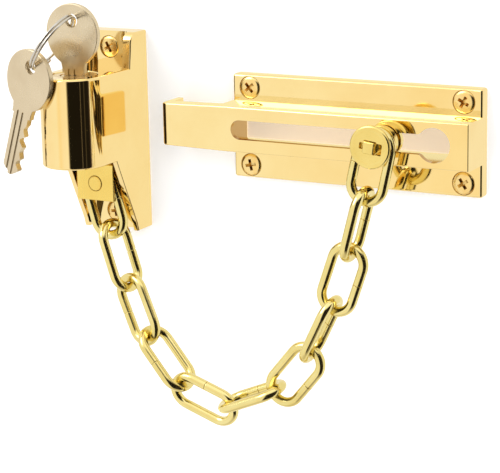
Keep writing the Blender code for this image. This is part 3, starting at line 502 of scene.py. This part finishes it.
def track():
    plate = box(TRACK_X0, TRACK_X1, -TRACK_T, 0.0, TRACK_Z0, TRACK_Z1)
    bevel(plate, lambda mid, way: mid.y < -TRACK_T + 0.01 or abs(way.y) > 0.9, 0.9, 4)
    z0, z1 = CHANNEL_Z - CHANNEL_HALF, CHANNEL_Z + CHANNEL_HALF
    channel = box(TRACK_X0 + 0.02, TRACK_X1 - 0.02, CHANNEL_Y, -1.0, z0, z1)
    bevel(channel, lambda mid, way: mid.y < CHANNEL_Y + 0.01 and
          (abs(way.x) > 0.9 or mid.x > TRACK_X1 - 1), 0.6, 4)
    cuts = [box(TRACK_X0 + 2.9, TRACK_X1 - 1.9, CHANNEL_Y + CHANNEL_WALL, 3.0, z0 + 1.9, z1 - 1.9),
            prism(keyhole_plan(), "Y", CHANNEL_Y - 3, CHANNEL_Y + CHANNEL_WALL + 1)]
    cuts += [screw_seat(x, -TRACK_T, z, 9.0) for x in TRACK_SCREW_X for z in TRACK_SCREW_Z]
    add_piece("track_plate_plated", boolean(plate, [channel, tongue_solid(z0, z1)], cuts),
              GOLD_TRACK, "keeper_and_track", "track_plate")


# ------------------------------------------------------------------ screws
# (radius, depth behind the seat's face) from the domed top to the neck
SCREW_HEAD = [(0.0, -0.62), (0.8, -0.61), (1.6, -0.57), (2.3, -0.49), (2.9, -0.38), (3.3, -0.24),
              (3.55, -0.06), (3.7, 0.12), (3.7, 0.26), (3.55, 0.36), (2.2, 1.9), (2.05, 3.0),
              (2.05, 3.1), (0.0, 3.1)]
# cross recess: (half length, half width, depth), from in front of the head inwards
CROSS_ROWS = [(2.10, 0.58, -2.0), (1.95, 0.52, -0.55), (1.45, 0.44, 0.3), (0.7, 0.34, 1.2)]
SHANK_Y, SHANK_R, CORE_R = 3.0, 2.0, 1.45
THREAD_PITCH, THREAD_HEIGHT, THREAD_HALF = 1.55, 0.62, 0.28    # half width is a part of the pitch
THREAD_GAP, THREAD_FADE, POINT_L = 1.2, 1.5, 4.6
# CAD node, x, z, face y, length, turn of the cross in degrees
SCREWS = [
    ("keeper_screw_upper", 0.0, SCREW_Z, UPPER_FLOOR_Y, 22.0, 28),
    ("keeper_screw_lower", 0.0, -SCREW_Z, LOWER_FLOOR_Y, 22.0, 5),
    ("track_screw_upper_left", TRACK_SCREW_X[0], TRACK_SCREW_Z[1], -TRACK_T, 20.0, 40),
    ("track_screw_lower_left", TRACK_SCREW_X[0], TRACK_SCREW_Z[0], -TRACK_T, 20.0, 12),
    ("track_screw_upper_right", TRACK_SCREW_X[1], TRACK_SCREW_Z[1], -TRACK_T, 20.0, 62),
    ("track_screw_lower_right", TRACK_SCREW_X[1], TRACK_SCREW_Z[0], -TRACK_T, 20.0, 33),
]


def cross_arm(x, face_y, z, turn):
    """Tapered cutter for one bar of the cross recess."""
    bm = bmesh.new()
    cos, sin = math.cos(math.radians(turn)), math.sin(math.radians(turn))

    def vertex(u, v, depth):
        return bm.verts.new((x + u * cos - v * sin, face_y + depth, z + u * sin + v * cos))

    loops = [[vertex(u, v, depth) for u, v in ((-long, -wide), (long, -wide),
                                               (long, wide), (-long, wide))]
             for long, wide, depth in CROSS_ROWS]
    cap(bm, loops)
    skin(bm, loops)
    return outward(bm)


def threaded_shank(x, face_y, z, length):
    """Shank with one helical ridge that runs out at the point."""
    around = 28
    rows = int((length - SHANK_Y) / THREAD_PITCH * 10)
    bm = bmesh.new()
    rings = []
    for k in range(rows + 1):
        y = SHANK_Y + (length - SHANK_Y) * k / rows
        tip = min(1.0, max(0.0, (length - y) / POINT_L))
        start = min(1.0, max(0.0, (y - SHANK_Y - THREAD_GAP) / THREAD_FADE))
        core = CORE_R * tip ** 0.8 + 0.02
        if tip >= 1:
            core += (SHANK_R - core) * (1 - start)
        ring = []
        for i in range(around):
            part = i / around
            phase = ((y - SHANK_Y) / THREAD_PITCH - part) % 1.0
            ridge = max(0.0, 1.0 - abs(phase - 0.5) / THREAD_HALF)
            radius = core + THREAD_HEIGHT * ridge * start * min(1.0, tip * 1.3)
            angle = 2 * math.pi * part
            ring.append(bm.verts.new((x + radius * math.cos(angle), face_y + y,
                                      z + radius * math.sin(angle))))
        rings.append(ring)
    skin(bm, rings)
    cap(bm, rings)
    return outward(bm)


def screw(cad, x, z, face_y, length, turn):
    head = revolve(SCREW_HEAD, (x, face_y, z), "Y", 48)
    bm = boolean(head, [], [cross_arm(x, face_y, z, turn + 90 * k) for k in range(2)])
    shank = to_mesh(threaded_shank(x, face_y, z, length), "tmp")
    bm.from_mesh(shank)
    bpy.data.meshes.remove(shank)
    add_piece(cad + "_threaded", bm, SCREW, "keeper_and_track", cad, 38.0)


# ------------------------------------------------------------------ chain links
LINK_COUNT = 11
LINK_L, LINK_W, LINK_WIRE = 26.5, 14.45, 3.3    # overall length and width, wire diameter
SEAM_Y = 0.55                                   # butt seam, measured from the link's middle
# (distance along the wire from the seam, change of wire radius): two lips and a fine gap
SEAM = [(-0.34, 0.0), (-0.20, 0.02), (-0.11, -0.02), (-0.05, -0.30),
        (0.05, -0.30), (0.11, -0.02), (0.20, 0.02), (0.34, 0.0)]


def link_frame(cad):
    """Centre (mm), long axis, width axis and normal of a link, measured on its CAD solid."""
    points = [v.co.copy() for v in NODES[cad].data.vertices]
    mean = sum(points, Vector()) / len(points)
    spread = [[0.0] * 3 for _ in range(3)]
    for point in points:
        off = point - mean
        for i in range(3):
            for j in range(3):
                spread[i][j] += off[i] * off[j]
    vectors = np.linalg.eigh(np.array(spread))[1]    # least spread first
    normal, across, along = (Vector([float(x) for x in vectors[:, k]]).normalized()
                             for k in range(3))
    # the centre comes from the extents, which don't depend on how the points are spread
    middle = Vector()
    for axis in (normal, across, along):
        reach = [point.dot(axis) for point in points]
        middle += axis * ((min(reach) + max(reach)) / 2)
    if along.z > 0:
        along = -along
    if across.cross(along).dot(normal) < 0:
        across = -across
    return middle / MM, along, across, normal


def link_path(seam_side):
    """Wire path as (x, y, change of radius), with the seam on the straight at x = +/-."""
    radius = (LINK_W - LINK_WIRE) / 2
    straight = (LINK_L - LINK_W) / 2
    arc_steps, side_steps = 22, 12
    loop = []    # x, y, whether the point starts a straight step
    for sign in (1, -1):
        for i in range(arc_steps):
            angle = (0 if sign > 0 else math.pi) + math.pi * i / arc_steps
            loop.append((radius * math.cos(angle), sign * straight + radius * math.sin(angle),
                         False))
        for i in range(side_steps):
            loop.append((-sign * radius, sign * (straight - 2 * straight * i / side_steps), True))
    path = []
    for i, (x, y, on_side) in enumerate(loop):
        path.append((x, y, 0.0))
        next_y = loop[(i + 1) % len(loop)][1]
        if on_side and x * seam_side > 0 and min(y, next_y) <= SEAM_Y < max(y, next_y):
            way = 1 if next_y > y else -1
            path += [(x, SEAM_Y + way * along, change) for along, change in SEAM]
    return path


def chain_link(number):
    cad = "chain_link_%02d" % number
    middle, along, across, normal = link_frame(cad)
    path = link_path(seam_side=1 if number % 2 else -1)
    points = [middle + across * x + along * (-y) for x, y, _ in path]
    radii = [LINK_WIRE / 2 + change for _, _, change in path]
    add_piece(cad + "_wire", tube(points, radii, normal, around=20, closed=True), CHAIN,
              BODY_OF[cad], cad, 50.0, False)


# ------------------------------------------------------------------ anchor block and pin
ANCHOR_HALF_W, ANCHOR_Y0, ANCHOR_Y1, ANCHOR_Z0, ANCHOR_Z1 = 7.4, -18.3, -7.2, -22.7, -9.8
ANCHOR_SLOT_Y, ANCHOR_SLOT_HALF = -15.7, 1.87    # slot that takes the first link
PIN_Z = -16.7


def anchor():
    block = box(-ANCHOR_HALF_W, ANCHOR_HALF_W, ANCHOR_Y0, ANCHOR_Y1, ANCHOR_Z0, ANCHOR_Z1)
    bevel(block, lambda mid, way: True, 0.35, 3)
    stem = box(-3.0, 3.0, -12.6, -8.6, ANCHOR_Z1 - 1.0, -1.0)
    bevel(stem, lambda mid, way: mid.z > -1.2, 0.6, 3)
    cuts = [
        box(-20, 20, ANCHOR_SLOT_Y - ANCHOR_SLOT_HALF, ANCHOR_SLOT_Y + ANCHOR_SLOT_HALF,
            -40, -10.4),
        # pin hole, wider at its mouth
        revolve([(0, 0), (2.95, 0), (2.95, 0.85), (2.75, 1.05), (2.75, 12.0), (0, 12.0)],
                (0, ANCHOR_Y0 - 1.0, PIN_Z), "Y", 48),
        # window through the stem
        box(-1.95, 1.95, -16, -6, -5.9, -2.9),
    ]
    add_piece("anchor_block_satin", boolean(block, [stem], cuts), BLOCK, "anchor",
              "anchor_block")
    pin = revolve([(0, -0.24), (1.6, -0.25), (2.3, -0.22), (2.5, -0.12), (2.6, 0.05), (2.6, 9.8),
                   (0, 9.8)], (0, ANCHOR_Y0, PIN_Z), "Y", 48)
    add_piece("anchor_pin_peened", pin, BLOCK, "anchor", "anchor_pin")


# ------------------------------------------------------------------ button
BUTTON_CENTRE = (107.3, 0, CHANNEL_Z)
BUTTON_TURN = math.radians(8)             # turn of the square tang and its hole
TANG_HALF = 1.9
COLLAR_Y0, COLLAR_Y1 = -18.9, -16.3
WASHER_Y0, WASHER_Y1, WASHER_R = -26.3, -24.75, 6.95
# washer cut-outs before the turn: x0, x1, z0, z1 (square hole, then a notch on either side)
WASHER_CUTS = [(-2.15, 2.15, -2.15, 2.15), (1.0, 4.15, -1.95, 1.75), (-3.55, -1.0, -0.95, 1.15)]


def turn_to_button(bm):
    bmesh.ops.rotate(bm, verts=bm.verts, cent=(0, 0, 0),
                     matrix=Matrix.Rotation(BUTTON_TURN, 3, "Y"))
    bmesh.ops.translate(bm, verts=bm.verts, vec=BUTTON_CENTRE)


def add_button_piece(cad, bm):
    add_piece(cad + "_turned", bm, BUTTON, BODY_OF[cad], cad)


def button_stud():
    inner = CHANNEL_Y + CHANNEL_WALL    # inner face of the channel's front
    profile = [(0, inner + 2.7), (4.7, inner + 2.7), (4.9, inner + 2.62), (5.0, inner + 2.4),
               (5.0, inner + 0.7), (4.85, inner + 0.5), (3.1, inner + 0.5), (2.85, inner + 0.3),
               (2.85, CHANNEL_Y - 0.3), (2.6, CHANNEL_Y - 0.5), (2.6, -24.5), (2.5, -24.6),
               (0, -24.6)]
    stud = revolve(profile, BUTTON_CENTRE, "Y", 64)
    half = TANG_HALF
    tang = prism([(-half, -half), (half, -half), (half, half), (-half, half)], "Y", -27.4, -24.0)
    turn_to_button(tang)
    bevel(tang, lambda mid, way: mid.y < -27.3 or abs(way.y) > 0.9, 0.4, 3)
    add_button_piece("button_stud", boolean(stud, [tang], []))


def button_collar():
    y0, y1 = COLLAR_Y0, COLLAR_Y1
    profile = [(2.75, y0 + 0.15), (2.9, y0), (5.3, y0), (5.52, y0 + 0.08), (5.6, y0 + 0.3),
               (5.6, y1 - 0.3), (5.52, y1 - 0.08), (5.3, y1), (2.75, y1)]
    add_button_piece("button_collar", revolve(profile, BUTTON_CENTRE, "Y", 72, closed=True))


def button_washer():
    y0, y1, radius = WASHER_Y0, WASHER_Y1, WASHER_R
    profile = [(0, y0 + 0.10), (5.15, y0 + 0.10), (5.35, y0 + 0.02), (5.5, y0),
               (radius - 0.75, y0), (radius - 0.42, y0 + 0.07), (radius - 0.17, y0 + 0.24),
               (radius - 0.03, y0 + 0.5), (radius, y0 + 0.75), (radius, y1 - 0.3),
               (radius - 0.1, y1 - 0.08), (radius - 0.3, y1), (0, y1)]
    cuts = []
    for x0, x1, z0, z1 in WASHER_CUTS:
        cut = box(x0, x1, y0 - 1.0, y1 + 1.0, z0, z1)
        bevel(cut, lambda mid, way: abs(way.y) > 0.9, 0.35, 3)
        turn_to_button(cut)
        cuts.append(cut)
    disc = revolve(profile, BUTTON_CENTRE, "Y", 80)
    add_button_piece("button_washer", boolean(disc, [], cuts))


# ------------------------------------------------------------------ keys
# A key is drawn upright in XZ, its shoulder at z = 0, the bow above and the blade below.
KEY_HALF_T, BLADE_HALF_W, BLADE_L = 1.0, 3.5, 22.0
HOLE_Z, HOLE_R = 17.6, 2.3
BOW_Z, BOW_RX, BOW_RZ_UP, BOW_RZ_DOWN = 13.3, 10.1, 10.0, 11.2
NECK_HALF_W, NECK_Z = 4.4, 1.6
FIRST_BIT_Z, BIT_PITCH, BIT_DEPTHS = -2.4, 4.2, (0.9, 1.7, 0.7, 1.4)
TIP_HALF_W, TIP_RISE = 0.6, 2.6
GROOVE_DEPTH = 0.38
GROOVES = [(-1, -2.0, -0.9), (-1, 0.3, 1.3), (1, -1.1, 0.2)]    # side in y, x0, x1


def key_outline():
    bow = []    # right half, from the top down
    for i in range(49):
        angle = math.radians(90 - 152 * i / 48)
        height = BOW_RZ_UP if angle > 0 else BOW_RZ_DOWN
        bow.append((BOW_RX * math.cos(angle), BOW_Z + height * math.sin(angle)))
    right = bow + [(NECK_HALF_W, NECK_Z), (NECK_HALF_W, 0.0), (BLADE_HALF_W, 0.0)]
    z = FIRST_BIT_Z
    for depth in BIT_DEPTHS:
        right += [(BLADE_HALF_W, z), (BLADE_HALF_W - depth, z - 1.5),
                  (BLADE_HALF_W - depth, z - 2.3), (BLADE_HALF_W, z - 3.8)]
        z -= BIT_PITCH
    right += [(BLADE_HALF_W, -BLADE_L + TIP_RISE), (TIP_HALF_W, -BLADE_L)]
    left = [(-TIP_HALF_W, -BLADE_L), (-BLADE_HALF_W, -BLADE_L + TIP_RISE), (-BLADE_HALF_W, 0.0),
            (-NECK_HALF_W, 0.0), (-NECK_HALF_W, NECK_Z)]
    return right + left + [(-x, z) for x, z in reversed(bow[1:])]


def key(cad, place):
    blank = prism(key_outline(), "Y", -KEY_HALF_T, KEY_HALF_T)
    bevel(blank, lambda mid, way: abs(way.y) < 0.3 and mid.z > 0.6, 0.26, 3)
    reach = 4.0    # the hole cutter runs this far either side of the key's middle
    front, back = reach - KEY_HALF_T, reach + KEY_HALF_T
    cuts = [revolve([(0, 0), (HOLE_R + 1.3, 0), (HOLE_R + 0.25, front - 0.25),
                     (HOLE_R, front + 0.15), (HOLE_R, back - 0.15), (HOLE_R + 0.25, back + 0.25),
                     (HOLE_R + 1.3, 2 * reach), (0, 2 * reach)], (0, -reach, HOLE_Z), "Y", 56)]
    for side, x0, x1 in GROOVES:
        y0, y1 = sorted((side * (KEY_HALF_T + 1.0), side * (KEY_HALF_T - GROOVE_DEPTH)))
        groove = box(x0, x1, y0, y1, -BLADE_L - 3, 1.4)
        bevel(groove, lambda mid, way: mid.z > 1.3 and abs(way.y) > 0.9, 0.45, 4)
        cuts.append(groove)
    for solid in [blank] + cuts:
        bmesh.ops.transform(solid, matrix=place, verts=solid.verts)
    add_piece(cad + "_cut", boolean(blank, [], cuts), NICKEL, BODY_OF[cad], cad)


# ------------------------------------------------------------------ split ring
RING_R, RING_WIRE_R, RING_PITCH, RING_TURNS = 10.75, 0.47, 1.05, 1.93
RING_START = math.pi * 0.55
RING_STEPS, RING_AROUND = 260, 14
RING_OFFSET = Vector((0.59, -0.80, 0.41))         # centre, from midway between the key holes
RING_ACROSS = Vector((-0.46, 0.774, -0.434))      # roughly square to the line of the holes
STEP_OVER_START, STEP_OVER_RUN = 0.44, 0.12       # part of the wire that steps between coils
END_RADII = {0: 0.72, 1: 0.93}                    # ends are cropped round: steps from end, factor


def key_ring(hole_1, hole_2):
    line = (hole_2 - hole_1).normalized()
    across = (RING_ACROSS - line * RING_ACROSS.dot(line)).normalized()
    normal = line.cross(across).normalized()
    centre = (hole_1 + hole_2) / 2 + RING_OFFSET
    points, radii = [], []
    for i in range(RING_STEPS + 1):
        part = i / RING_STEPS
        angle = 2 * math.pi * RING_TURNS * part + RING_START
        step = min(max((part - STEP_OVER_START) / STEP_OVER_RUN, 0.0), 1.0)
        lift = -RING_PITCH / 2 + RING_PITCH * (step * step * (3 - 2 * step))
        points.append(centre + line * (RING_R * math.cos(angle)) +
                      across * (RING_R * math.sin(angle)) + normal * lift)
        radii.append(RING_WIRE_R * END_RADII.get(min(i, RING_STEPS - i), 1.0))
    add_piece("key_ring_wire", tube(points, radii, normal, RING_AROUND, closed=False), WIRE,
              BODY_OF["key_ring"], "key_ring", 50.0, False)


SPARE_SHIFT = Vector((-8.07, -12.78, -14.25))     # from the first key's hole to the spare's
SPARE_TURN, SPARE_TILT = math.radians(-11.3), math.radians(19.0)    # about Z, about Y


def keys_and_ring():
    in_lock = Matrix.Translation(Vector((0.0, LOCK_Y, BARREL_Z1 + 0.5)))
    key("key_in_lock", in_lock)
    hole_1 = in_lock @ Vector((0, 0, HOLE_Z))
    hole_2 = hole_1 + SPARE_SHIFT
    turn = Matrix.Rotation(SPARE_TURN, 4, "Z") @ Matrix.Rotation(SPARE_TILT, 4, "Y")
    key("key_spare", Matrix.Translation(hole_2) @ turn @
        Matrix.Translation(Vector((0, 0, -HOLE_Z))))
    key_ring(hole_1, hole_2)


# ------------------------------------------------------------------ build the pieces
keeper_housing()
track()
for row in SCREWS:
    screw(*row)
for number in range(1, LINK_COUNT + 1):
    chain_link(number)
anchor()
button_stud()
button_collar()
button_washer()
keys_and_ring()

# CAD nodes that keep their own shape and only take a material
KEPT_NODES = {
    "keeper_back_plate": STEEL, "lock_cylinder_shell": LOCK, "lock_plug": LOCK,
    "tumbler_wafer_1": LOCK, "tumbler_wafer_2": LOCK, "tumbler_wafer_3": LOCK,
    "tumbler_wafer_4": LOCK, "plug_retaining_clip": SPRING, "lock_cam": SPRING,
    "latch_bolt": SPRING,
}
for cad, mat in KEPT_NODES.items():
    materials = NODES[cad].data.materials
    materials.clear()
    materials.append(mat)


# ------------------------------------------------------------------ stage, in metres
STAGE_HALF, FLOOR_Z, WALL_Y, WALL_TOP = 3.0, -0.26, 0.0004, 2.2


def pale(name, colour, glow, seen_as, painted_bounce_patch=None, painted_bounce_tone=None, painted_bounce_glow=None):
    """Matt pale surface; reflections see it as an even tone, and from behind it is clear.

    A region {axis: (low, high)} can be given its own warm tone and stronger glow: painted bounce
    light."""
    mat, sh, bsdf = new_material(name)
    place = sh.node("TexCoord").outputs["Object"]
    mottle = sh.noise(place, scale=14.0, detail=3.0)
    tone = sh.mix(mottle, colour, tuple(c * 0.985 for c in colour))
    glow_colour = (1, 1, 1, 1)
    if painted_bounce_patch:
        # painted warm bounce light: the region takes its own tone and a stronger glow
        within = sh.inside(place, painted_bounce_patch)
        tone = sh.mix(within, tone, painted_bounce_tone)
        glow = sh.math("MULTIPLY_ADD", within, painted_bounce_glow - glow, glow)
        glow_colour = tone
    for socket, value in (("Base Color", tone), ("Emission Color", glow_colour),
                          ("Emission Strength", glow), ("Roughness", 0.9),
                          ("Specular IOR Level", 0.0)):
        sh.feed(bsdf.inputs[socket], value)
    glossy = sh.node("LightPath").outputs["Is Glossy Ray"]
    even = sh.node("Emission", {"Color": (*seen_as, 1), "Strength": 1.0})
    front = sh.node("MixShader", {0: glossy, 1: bsdf.outputs[0], 2: even.outputs[0]})
    behind = sh.node("NewGeometry").outputs["Backfacing"]
    clear = sh.node("BsdfTransparent")
    both = sh.node("MixShader", {0: behind, 1: front.outputs[0], 2: clear.outputs[0]})
    sh.feed(sh.tree.nodes["Material Output"].inputs["Surface"], both.outputs[0])
    return mat


def stage_quad(name, corners, mat):
    mesh = bpy.data.meshes.new(name)
    mesh.from_pydata(corners, [], [(0, 1, 2, 3)])
    ob = bpy.data.objects.new(name, mesh)
    COLLECTION.objects.link(ob)
    mesh.materials.append(mat)
    return ob


# the wall gets painted warm bounce light, a glowing patch, behind the track's channel
WALL = pale("pale_wall", colour=(0.93, 0.93, 0.93), glow=0.14, seen_as=(1.0, 0.965, 0.875),
            painted_bounce_patch={0: (0.0485, 0.1355), 2: (-0.0030, 0.0140)}, painted_bounce_tone=(1.0, 0.86, 0.67),
            painted_bounce_glow=0.52)
FLOOR = pale("pale_floor", colour=(0.90, 0.90, 0.90), glow=0.15, seen_as=(0.9, 0.89, 0.87))
stage_quad("backdrop", [(-STAGE_HALF, WALL_Y, FLOOR_Z), (STAGE_HALF, WALL_Y, FLOOR_Z),
                        (STAGE_HALF, WALL_Y, WALL_TOP), (-STAGE_HALF, WALL_Y, WALL_TOP)], WALL)
floor = stage_quad("floor", [(-STAGE_HALF, -STAGE_HALF, FLOOR_Z), (STAGE_HALF, -STAGE_HALF, FLOOR_Z),
                             (STAGE_HALF, STAGE_HALF, FLOOR_Z), (-STAGE_HALF, STAGE_HALF, FLOOR_Z)],
                   FLOOR)
floor.visible_glossy = False

# ------------------------------------------------------------------ world: broad panels all round
SKY_STRENGTH = 1.30
# brightness seen in reflections: (azimuth in degrees from -Y towards +X, colour)
PANELS = [
    (-180, (0.66, 0.56, 0.42)), (-150, (0.62, 0.52, 0.38)), (-136, (0.92, 0.86, 0.76)),
    (-110, (1.02, 0.98, 0.92)), (-60, (1.02, 0.99, 0.95)), (-30, (1.03, 1.03, 1.02)),
    (-19, (1.03, 0.92, 0.72)), (-8, (1.04, 0.99, 0.92)), (9, (1.06, 1.03, 0.98)),
    (12.5, (0.30, 0.26, 0.20)), (14.5, (0.012, 0.011, 0.009)), (57, (0.012, 0.010, 0.009)),
    (58, (0.30, 0.26, 0.22)), (59, (0.012, 0.010, 0.009)), (70, (0.012, 0.010, 0.009)),
    (71, (0.20, 0.17, 0.13)), (72, (0.013, 0.011, 0.009)), (86, (0.015, 0.012, 0.010)),
    (92, (0.24, 0.18, 0.15)), (101, (0.30, 0.24, 0.20)), (118, (0.72, 0.62, 0.50)),
    (140, (0.95, 0.88, 0.78)), (180, (0.66, 0.56, 0.42)),
]
CEILING, GROUND = (1.25, 1.22, 1.18), (0.75, 0.68, 0.58)
DIFFUSE_SKY = (0.96, 0.96, 0.97)    # what everything but reflections sees


def sky_tone(colour):
    return tuple(c / SKY_STRENGTH for c in colour)


def studio_world():
    world = bpy.data.worlds.new("studio")
    bpy.context.scene.world = world
    world.use_nodes = True
    world.cycles.sampling_method = "NONE"
    sh = Shader(world.node_tree)
    x, y, z = sh.split(sh.node("TexCoord").outputs["Generated"])
    azimuth = sh.math("ARCTAN2", x, sh.math("MULTIPLY", y, -1.0))
    degrees = sh.math("MULTIPLY", azimuth, 180.0 / math.pi)
    around = sh.math("MULTIPLY_ADD", degrees, 1.0 / 360.0, 0.5)
    height = sh.math("MULTIPLY_ADD", z, 0.5, 0.5)
    seen = sh.ramp(around, [(deg / 360.0 + 0.5, sky_tone(colour)) for deg, colour in PANELS])
    seen = sh.mix(sh.ramp(height, [(0.75, 0.0), (0.83, 1.0)]), seen, sky_tone(CEILING))
    seen = sh.mix(sh.ramp(height, [(0.02, 1.0), (0.125, 0.0)]), seen, sky_tone(GROUND))
    glossy = sh.node("LightPath").outputs["Is Glossy Ray"]
    background = world.node_tree.nodes["Background"]
    sh.feed(background.inputs["Color"], sh.mix(glossy, sky_tone(DIFFUSE_SKY), seen))
    sh.feed(background.inputs["Strength"], SKY_STRENGTH)


studio_world()


# ------------------------------------------------------------------ lights
LIGHT_TARGET = Vector((0.05, 0.0, 0.0))


def softbox(name, location, size, energy):
    light = bpy.data.lights.new(name, "AREA")
    light.shape = "RECTANGLE"
    light.size = light.size_y = size
    light.energy = energy
    ob = bpy.data.objects.new(name, light)
    COLLECTION.objects.link(ob)
    ob.location = location
    ob.rotation_euler = (LIGHT_TARGET - Vector(location)).to_track_quat("-Z", "Y").to_euler()
    return ob


softbox("key_softbox", location=(-0.55, -0.75, 0.75), size=0.7, energy=5.0)
fill = softbox("fill_softbox", location=(0.75, -0.80, 0.45), size=0.5, energy=2.5)
fill.visible_glossy = False

# ------------------------------------------------------------------ camera
CAM_AZIMUTH = math.radians(28.82)      # from -Y towards +X
CAM_ELEVATION = math.radians(13.35)
CAM_ROLL = math.radians(-1.25)
CAM_AIM, CAM_DISTANCE = Vector((46.34, 0, -27.84)), 644.71    # mm


def add_camera():
    away = Vector((math.sin(CAM_AZIMUTH) * math.cos(CAM_ELEVATION),
                   -math.cos(CAM_AZIMUTH) * math.cos(CAM_ELEVATION), math.sin(CAM_ELEVATION)))
    level = (-away).cross(Vector((0, 0, 1))).normalized()
    upright = level.cross(-away)
    right = level * math.cos(CAM_ROLL) + upright * math.sin(CAM_ROLL)
    up = upright * math.cos(CAM_ROLL) - level * math.sin(CAM_ROLL)
    place = (CAM_AIM + away * CAM_DISTANCE) * MM
    data = bpy.data.cameras.new("camera")
    data.sensor_width = 36.0
    data.lens = 135.69336
    data.shift_x, data.shift_y = 0.02094, -0.04096
    data.clip_start, data.clip_end = 0.01, 20.0
    camera = bpy.data.objects.new("camera", data)
    COLLECTION.objects.link(camera)
    camera.matrix_world = Matrix((*zip(right, up, away, place), (0, 0, 0, 1)))
    bpy.context.scene.camera = camera


add_camera()
view = bpy.context.scene.view_settings
view.view_transform = "Standard"
view.look = "None"
view.exposure = 0.0
